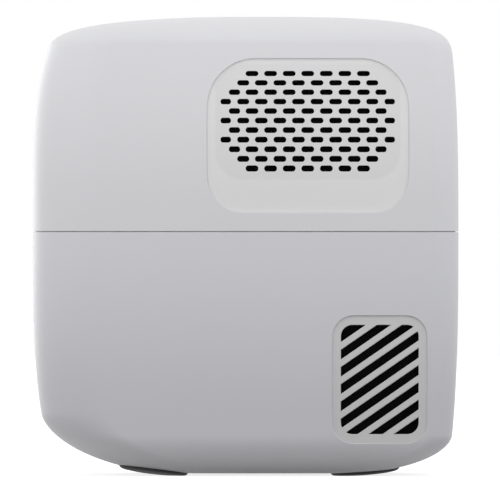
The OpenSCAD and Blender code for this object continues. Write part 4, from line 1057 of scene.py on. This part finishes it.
def board_tracks():
    """Copper tracks under the mask of a board that lies flat: runs of lines of many lengths."""
    group, given, where = shader_group("board_tracks", [("Pitch", "Float", 1.1)], ["Track", "Pad"])
    across, along = (v * 1000.0 / given["Pitch"] for v in xyz(group, where)[:2])
    run = noise(group, combined(group, across.by("FLOOR"), along * RUN_SHARE), RUN_SCALE, 1.0)
    inside = abs(across.by("FRACT") - 0.5)
    cell = Number(group, add(group, "ShaderNodeTexVoronoi", {
        "Vector": where, "Scale": TIN_SCALE, "Randomness": TIN_SPREAD}).outputs["Distance"])
    track = (run > 0.5) * (inside < TRACK_HALF)
    add(group, "NodeGroupOutput", {"Track": track, "Pad": cell < TIN_R})
    return group


LINES, RINGS, WEAVE, TRACKS = tool_lines(), axis_rings(), woven_cloth(), board_tracks()


# %% Joining an effect to a material
def effect(material, group, **values):
    """What a group puts out, placed in a material with its own values."""
    tree = material.node_tree
    return numbers(tree, add(tree, "ShaderNodeGroup", values, node_tree=group).outputs)


def rings_round(material, centre, pitch, across=(1, 1, 0)):
    """The radius and the wave of rings round an axis."""
    return effect(material, RINGS, Centre=centre, Across=across, Pitch=pitch)


def shader_of(material):
    """The tree of a material and the inputs of its Principled BSDF."""
    return material.node_tree, material.node_tree.nodes["Principled BSDF"].inputs


def paint_over(material, mask, tone, rough=None):
    """A second colour, and a second roughness where one is given, where the mask is one."""
    tree, shader = shader_of(material)
    first = shader["Base Color"].links[0].from_socket
    mixed = add(tree, "ShaderNodeMix", {0: mask, 6: first, 7: colour(tone)}, data_type="RGBA")
    tree.links.new(mixed.outputs[2], shader["Base Color"])
    if rough is not None:
        ends = {0: mask, 2: shader["Roughness"].default_value, 3: rough}
        tree.links.new(add(tree, "ShaderNodeMix", ends).outputs[0], shader["Roughness"])
    return material


def emboss(material, height, deep, strength=1.0):
    """A relief of a depth in millimetres over the bump the material already has."""
    tree, shader = shader_of(material)
    bump = add(tree, "ShaderNodeBump", {
        "Height": height, "Strength": strength, "Distance": deep * MM,
        "Normal": shader["Normal"].links[0].from_socket})
    tree.links.new(bump.outputs[0], shader["Normal"])
    return material


def dress(material, *names):
    """Gives a material to CAD nodes of the frame."""
    for name in names:
        for place_of in nodes[name].material_slots:
            place_of.material = material


# %% [markdown]
# ## Plastics and rubber
#
# The inner frames are black and dark grey mouldings, left as they come from the mould, so
# they are duller than the housing. The gears are of natural acetal, which is milky and a
# little waxy. The speaker cones are of pressed paper pulp with a glossier rubber edge.

# %% Mouldings
for name, tone, rough, cloud, grain, scale, edge, parts in (
        ("dark_grey_moulding", (62, 65, 70), 0.55, 0.10, 0.25, 1800, 0.0004,
         ("base_frame", "middle_deck", "loader_chassis", "traverse_frame", "clamp_bridge")),
        ("black_moulding", (34, 35, 37), 0.48, 0.10, 0.2, 2200, 0.0003,
         ("engine_housing", "lens_sleeve", "lens_barrel", "fan_frame", "fan_rotor",
          "mains_inlet", "speaker_frame_right", "speaker_frame_left")),
        ("black_tray_satin", (30, 31, 33), 0.33, 0.08, 0.1, 3000, 0.0003, ("disc_tray",)),
        ("grey_panel_plastic", (172, 174, 178), 0.42, 0.02, 0.1, 2600, 0.0003, ("control_panel",)),
        ("knurled_grip", (42, 43, 46), 0.6, 0.08, 0.3, 2000, 0.0003, ("focus_ring",)),
        ("black_pickup", (36, 37, 40), 0.45, 0.1, 0.2, 2600, 0.0003, ("pickup_sled",))):
    dress(finish(name, tone, rough, cloud, grain, scale, edge), *parts)
ACETAL = finish("natural_acetal", (226, 223, 212), 0.36, grain=0.1, edge=0.0002,
                Coat_Weight=0.15)
RUBBER = finish("black_rubber", (40, 40, 42), 0.78, 0.18, 0.5, 1500, 0.0004)
dress(ACETAL, "loading_gear", "loading_pulley", "feed_gear", "clamp_puck")
dress(RUBBER, "drive_belt")
dress(DARK_TRIM, "rear_panel", "lens_bezel")

# %% Rings of the lens bezel
LENS_AXIS = dict(centre=(0, 0, LENS_Z * MM), across=(1, 0, 1))
BEZEL_RINGS = (23.5, 30.5)

rings = rings_round(DARK_TRIM, pitch=0.9, **LENS_AXIS)
emboss(DARK_TRIM, rings["Wave"] * between(rings["Radius"], *BEZEL_RINGS), 0.06)

# %% Painted shade on the field of slots of the speaker grille
PAINTED_SHADE_FIELD = dict(middle=(29.2, SPEAKER["middle"][1] + 6.4), half=(43.5, 27.0), r=13.0, soft=0.6)


def rounded_field(material, middle, half, r, soft):
    """A mask of a rectangle with round corners across y and z, in millimetres, with a soft rim."""
    tree = material.node_tree
    past = [(abs(v.by("MULTIPLY_ADD", 1000.0, -m)) - (h - r)).by("MAXIMUM", 0.0)
            for v, m, h in zip(xyz(tree, object_place(tree))[1:], middle, half)]
    return add(tree, "ShaderNodeMapRange", {
        "Value": hypotenuse(*past), "From Min": r + soft, "From Max": r - soft}).outputs[0]


# Painted shade: the field round the slots is painted a little darker, and it is also a little
# rougher.
paint_over(GRILLE, rounded_field(GRILLE, **PAINTED_SHADE_FIELD), (215, 214, 214), 0.56)

# %% Speaker cones
RUBBER_EDGE = 5
cone_low, cone_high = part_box("speaker_cone_right")
cone_axis = (0, (cone_low.y + cone_high.y) / 2, (cone_low.z + cone_high.z) / 2)
CONE = finish("pressed_paper_cone", (44, 43, 42), 0.85, cloud=0.2, grain=0.9, scale=900)
rings = rings_round(CONE, cone_axis, 3.2, (0, 1, 1))
edge_from = (cone_high.z - cone_low.z) / 2 / MM - RUBBER_EDGE
paint_over(CONE, rings["Radius"] > edge_from, (26, 26, 28), 0.4)
emboss(CONE, rings["Wave"], 0.15)
dress(CONE, "speaker_cone_right", "speaker_cone_left")
print("cone axis in mm:", [round(v / MM, 1) for v in cone_axis], "rubber from", round(edge_from, 1))

# %% [markdown]
# ## Metals
#
# Each metal keeps the marks of how it was made: rods are ground along their length, the
# heat sink is extruded, brass is turned, and cans and sockets are rolled and plated. The
# same noise, drawn out in another direction each time, gives those lines as a fine bump
# and as a change of roughness.


# %% Metals
def metal(name, tone, rough, stretch, *parts):
    """A metal with tool lines, which show in the relief and in the roughness."""
    made = finish(name, tone, rough, 0.05, 0.05, edge=0.0002, Metallic=1.0)
    marks = effect(made, LINES, Stretch=stretch)["Height"]
    emboss(made, marks, 0.02, 0.4)
    tree, shader = shader_of(made)
    level = add(tree, "ShaderNodeMapRange", {
        "Value": marks, "To Min": rough * 0.75, "To Max": rough * 1.3}).outputs[0]
    tree.links.new(level, shader["Roughness"])
    dress(made, *parts)
    return made


metal("ground_steel", (200, 201, 203), 0.22, (9000, 260, 9000), "guide_rods")
metal("rolled_steel", (186, 187, 190), 0.32, (300, 5200, 5200), "loading_motor", "spindle_motor")
metal("zinc_plated_screws", (190, 190, 188), 0.3, (3800, 3800, 300), "housing_screws")
metal("turned_brass", (205, 172, 104), 0.28, (500, 500, 9000), "tripod_insert", "motor_pulley")
metal("extruded_aluminium", (205, 207, 211), 0.34, (5200, 5200, 240), "heat_sink")
metal("tin_plated_shells", (196, 198, 202), 0.26, (5200, 320, 5200), "signal_sockets")

# %% Copper board with its lamp
LAMP_R = 9.2
LED = metal("copper_board", (205, 140, 98), 0.35, (3200, 3200, 3200), "led_module")
glow_mask = rings_round(LED, pitch=1.0, **LENS_AXIS)["Radius"] < LAMP_R
paint_over(LED, glow_mask, (236, 205, 92))
tree, shader = shader_of(LED)
tree.links.new((1.0 - glow_mask).socket, shader["Metallic"])

# %% [markdown]
# ## Cloth and boards
#
# Black cloth is stretched behind each speaker grille, and it is why the slots look black.
# Its weave is coarse enough for sound to pass. The boards are green, or tan for the power
# supply, and their copper tracks show as lighter lines under the lacquer.

# %% Cloth
CLOTH = finish("black_speaker_cloth", (11, 11, 12), 0.95, cloud=0.1, grain=0.3,
               Sheen_Weight=0.02, Specular_IOR_Level=0.1)
threads = effect(CLOTH, WEAVE, Threads=900.0)
paint_over(CLOTH, threads["Gap"], (3, 3, 4))
emboss(CLOTH, threads["Height"], 0.25)
dress(CLOTH, "grille_linings")

# %% Circuit boards
for name, base, track, pad, pitch, parts in (
        ("green_board", (28, 84, 52), (52, 122, 76), (190, 192, 190), 1.1,
         ("main_board", "key_board")),
        ("tan_power_board", (128, 98, 52), (158, 124, 70), (192, 192, 188), 2.2,
         ("power_board",))):
    lacquer = finish(name, base, 0.32, 0.06, 0.05, edge=0.0002, Coat_Weight=0.3)
    prints = effect(lacquer, TRACKS, Pitch=pitch)
    paint_over(lacquer, prints["Track"], track)
    paint_over(lacquer, prints["Pad"], pad, 0.25)
    dress(emboss(lacquer, prints["Track"], 0.04), *parts)


# %% [markdown]
# ## Glass and windows
#
# The lenses are clear glass with a thin coating that tints what they mirror. The fresnel
# lenses carry fine rings. The receiver window and the picture panel are dark and glossy.
# The picture panel has a fine grid of cells, which shows only in a close view.

# %% Glass
LENS = finish("coated_lens_glass", (236, 240, 246), 0.03, 0.004, 0.0,
              Transmission_Weight=1.0, IOR=1.52, Specular_Tint=(0.62, 0.55, 1.0, 1))
FRESNEL = finish("fresnel_glass", (232, 240, 244), 0.06, 0.004, 0.0,
                 Transmission_Weight=1.0, IOR=1.49)
emboss(FRESNEL, rings_round(FRESNEL, pitch=0.5, **LENS_AXIS)["Wave"], 0.08)
WINDOW = finish("dark_receiver_window", (38, 14, 20), 0.08, 0.05, 0.0, edge=0.0004,
                Coat_Weight=0.4)
CELLS = finish("picture_panel", (30, 36, 44), 0.12, 0.05, 0.0, edge=0.0003)
tree = CELLS.node_tree
upright = add(tree, "ShaderNodeMapping", {
    0: object_place(tree), "Rotation": (math.radians(90), 0, 0)}).outputs[0]
cells = add(tree, "ShaderNodeTexBrick", {
    "Vector": upright, "Scale": 1000.0, "Mortar Size": 0.08, "Brick Width": 0.6,
    "Row Height": 0.6}, offset=0.0)
paint_over(CELLS, cells.outputs["Fac"], (70, 78, 88))
dress(LENS, "lens_elements", "condenser_lens")
dress(FRESNEL, "fresnel_lenses")
dress(WINDOW, "receiver_window")
dress(CELLS, "lcd_panel")

# %% [markdown]
# ## Keys
#
# The keys follow the slight dome of the panel and sit just under its surface, with soft
# edges. A round key is lofted through circles. An arrow key is a piece of a ring with
# round corners, and its outline is walked along four arcs and four corners.


# %% Key caps
POWER_X = 25.5
KEY_LOW, DOME_R, KEY_SUNK, KEY_EDGE = BODY_H - WALL - 4.9, 800.0, 0.34, 0.4


def turned(degrees, x, y=0.0):
    """A point of the panel, turned round the middle of the panel."""
    c, s = math.cos(math.radians(degrees)), math.sin(math.radians(degrees))
    return x * c - y * s, PANEL_Y + x * s + y * c


def ring_sector(r0, r1, half, corner, toward):
    """The outline of a piece of a ring round the middle of the panel, grown by g."""
    h, quarter_turn = math.radians(half), math.pi / 2
    out, into = h - math.asin(corner / (r1 - corner)), h - math.asin(corner / (r0 + corner))

    def outline(g):
        walk = [(0, 0, r1 + g, -out, out, 20),
                (r1 - corner, out, corner + g, out, h + quarter_turn, 5),
                (r0 + corner, into, corner + g, h + quarter_turn, into + math.pi, 5),
                (0, 0, r0 - g, into, -into, 12),
                (r0 + corner, -into, corner + g, math.pi - into, 3 * quarter_turn - h, 5),
                (r1 - corner, -out, corner + g, 3 * quarter_turn - h, 2 * math.pi - out, 5)]
        points = []
        for far_out, at, *rest in walk:
            points += arc(far_out * math.cos(at), far_out * math.sin(at), *rest, inner=True)
        return [turned(toward, *point) for point in points]
    return outline


def key_cap(name, outline, material):
    """A cap under the dome of the panel, with a soft edge, as the piece that replaces a key."""
    def level(points, deep):
        return [(x, y, BODY_H - KEY_SUNK - fall(math.hypot(x, y - PANEL_Y), DOME_R) - deep)
                for x, y in points]

    rings = [[(x, y, KEY_LOW) for x, y in outline(0.0)], level(outline(0.0), KEY_EDGE)]
    rings += [level(outline(-KEY_EDGE * (1 - math.cos(a))), KEY_EDGE * (1 - math.sin(a)))
              for a in ROUND[1:]]
    cap = show(turned_out(loft(name + "_cap", rings)))
    seat(cap, name, name, material)


# %% [markdown]
# The arrows and the power sign are pad-printed on the keys, so they have no depth. Each
# print is a mask of distances on the key: a triangle is where three straight lines all
# lie outside, and the power sign is a ring that opens upwards for a short bar.

# %% Printed signs
KEY_GREY, KEY_DARK, PRINT = (128, 130, 135), (104, 106, 111), (232, 233, 235)
ARROW_OUT, ARROW_BACK, ARROW_TIP, ARROW_SLOPE = 13.8, -0.9, 1.2, 0.9
POWER_RING, POWER_BAR, POWER_GAP, POWER_THICK = (1.55, 2.05), (0.5, 2.4), 0.75, 0.25


def key_finish(name, tone, edge=0.0):
    """The finish of a key."""
    return finish(name, tone, 0.4, 0.02, 0.1, edge=edge)


def key_plane(material, middle, toward):
    """Distances on the top in millimetres, from a middle: along a direction and across it."""
    tree = material.node_tree
    x, y = (v.by("MULTIPLY_ADD", 1000.0, -m)
            for v, m in zip(xyz(tree, object_place(tree)), middle))
    c, s = math.cos(math.radians(toward)), math.sin(math.radians(toward))
    return x * c + y * s, y * c - x * s


def arrow_print(material, toward):
    """A triangle that points outwards from the middle of the panel."""
    along, across = key_plane(material, turned(toward, ARROW_OUT), toward)
    side = abs(across).by("MULTIPLY_ADD", ARROW_SLOPE, along)
    return paint_over(material, (along > ARROW_BACK) * (side < ARROW_TIP), PRINT)


def power_print(material):
    """An open ring with a bar in its gap."""
    along, across = key_plane(material, (POWER_X, PANEL_Y), 90)
    gap = (along > 0.0) * (abs(across) < POWER_GAP)
    hoop = between(hypotenuse(along, across), *POWER_RING) * (1.0 - gap)
    bar = between(along, *POWER_BAR) * (abs(across) < POWER_THICK)
    return paint_over(material, hoop.by("MAXIMUM", bar), PRINT)


# %% Keys
OK_RING = (1.5, 2.0)

for name, toward in (("right", 0), ("up", 90), ("left", 180), ("down", 270)):
    cap = arrow_print(key_finish("grey_key_" + name, KEY_GREY), toward)
    key_cap("arrow_%s_key" % name, ring_sector(9.0, 18.0, 38.0, 1.4, toward), cap)
power_cap = power_print(key_finish("dark_key_power", KEY_DARK))
key_cap("power_key", lambda g: disc(4.5, g, (POWER_X, PANEL_Y), 48), power_cap)
OK_KEY = key_finish("dark_key_middle", KEY_DARK)
spot = rings_round(OK_KEY, (0, PANEL_Y * MM, 0), 1.0)["Radius"]
paint_over(OK_KEY, between(spot, *OK_RING), PRINT)
key_cap("ok_key", lambda g: disc(7.5, g, (0, PANEL_Y), 64), OK_KEY)
EJECT_GREY = key_finish("grey_key_front", KEY_GREY, 0.0004)
dress(EJECT_GREY, "eject_key")

# %% Turntable
TABLE_RINGS = (9.0, 15.0)
TABLE = finish("black_turntable", (32, 32, 34), 0.5, 0.1, 0.3, edge=0.0003)
spindle_low, spindle_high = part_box("turntable")
spindle = ((spindle_low.x + spindle_high.x) / 2, (spindle_low.y + spindle_high.y) / 2, 0)
rings = rings_round(TABLE, spindle, 1.2)
emboss(TABLE, rings["Wave"] * between(rings["Radius"], *TABLE_RINGS), 0.1)
dress(TABLE, "turntable")
bare = [n for n in nodes if nodes[n].material_slots and nodes[n].material_slots[0].material is None]
print("materials:", len(bpy.data.materials), "nodes without one:", bare)

# %% [markdown]
# ## Tray front and foot pads
#
# The front of the tray lies flush in the wall and follows its slope. It is drawn flat,
# with the depth of each outline as its third coordinate, cut in strips, and then laid on
# the skin, so every point comes to lie its own depth below the surface. The receiver
# window and the eject key carry a thin face of their own, made in the same way.

# %% Faces in the front
FACE_STEPS = [(-0.5, 0.02), (-0.25, 0.06), (-0.08, 0.2), (0.0, 0.5), (0.0, 3.3)]
SMALL_STEPS = [(-0.35, 0.02), (-0.15, 0.05), (0.0, 0.15), (0.03, 0.4), (0.03, 2.6)]


def front_face(name, outline, steps, material, body, replaced=None):
    """A plate with outlines at depths, whose face follows the skin of the front."""
    flat = flat_plate(name, outline, 0.0, steps, 1.0)
    deep, x, z = read(flat.vertices, "co", width=3).T / MM
    laid = np.stack([x, -(skin_at("y", -1, x, z) + deep), z], axis=1)
    flat.vertices.foreach_set("co", (laid * MM).ravel())
    seat(show(turned_out(flat)), body, replaced, material)
    print(name, "starts in mm:", [round(float(v), 1) for v in laid.min(0)])


front_face("tray_face", lambda g: tray_outline(g, 8), FACE_STEPS,
           pale_plastic("tray", 213, 213, 215), "disc_tray", "tray_front")
front_face("window_face", window_outline, SMALL_STEPS, WINDOW, "housing")
front_face("eject_face", eject_outline, SMALL_STEPS, EJECT_GREY, "eject_key")

# %% [markdown]
# A foot pad is a thin rubber skin that hugs the curve under the housing. It thins out to
# nothing at its rim and is flat where it stands on the table.

# %% Foot pads
PAD_R, PAD_T, PAD_EDGE, PAD_GAP = 16.2, 1.3, 2.6, 0.01
PAD_X, PAD_YS = 68.0, (-43.4, 56.4)


def foot_pad(cx, cy, rings=12, sides=56):
    """Vertices and faces of one pad under the skin, as a lens between two sheets."""
    flat = [(cx, cy)]
    for k in range(1, rings + 1):
        flat += disc(PAD_R * math.sin(math.pi / 2 * k / rings), 0.0, (cx, cy), sides)
    u, v = np.array(flat).T
    over = skin_at("z", -1, u, v) - PAD_GAP
    run = np.clip((np.hypot(u - cx, v - cy) - PAD_R + PAD_EDGE) / PAD_EDGE, 0, 1)
    under = np.maximum(over - PAD_T * np.sqrt(1 - run ** 2), 0.0)
    sheet = len(flat)
    points = np.concatenate([np.stack([u, v, z], 1) for z in (under, over)])
    faces = []
    for i in range(sides):
        j = (i + 1) % sides
        faces += [(0, 1 + j, 1 + i), (sheet, sheet + 1 + i, sheet + 1 + j)]
        for a in range(1, 1 + (rings - 1) * sides, sides):
            b, c, d = a + sides, sheet + a, sheet + a + sides
            faces += [(a + i, a + j, b + j, b + i), (c + j, c + i, d + i, d + j)]
    return points * MM, faces


pad_mesh = bpy.data.meshes.new("foot_pads")
with opened(pad_mesh) as pads:
    for centre in ((x, y) for x in (-PAD_X, PAD_X) for y in PAD_YS):
        points, faces = foot_pad(*centre)
        made = [pads.verts.new(p) for p in points]
        for face in faces:
            pads.faces.new([made[i] for i in face])
    bmesh.ops.remove_doubles(pads, verts=pads.verts, dist=2e-6)
seat(show(turned_out(pad_mesh)), "housing", "rubber_feet", RUBBER)
lowest = min(v.co.z for v in pad_mesh.vertices) / MM
print("foot pads faces:", len(pad_mesh.polygons), "lowest:", round(lowest, 3))
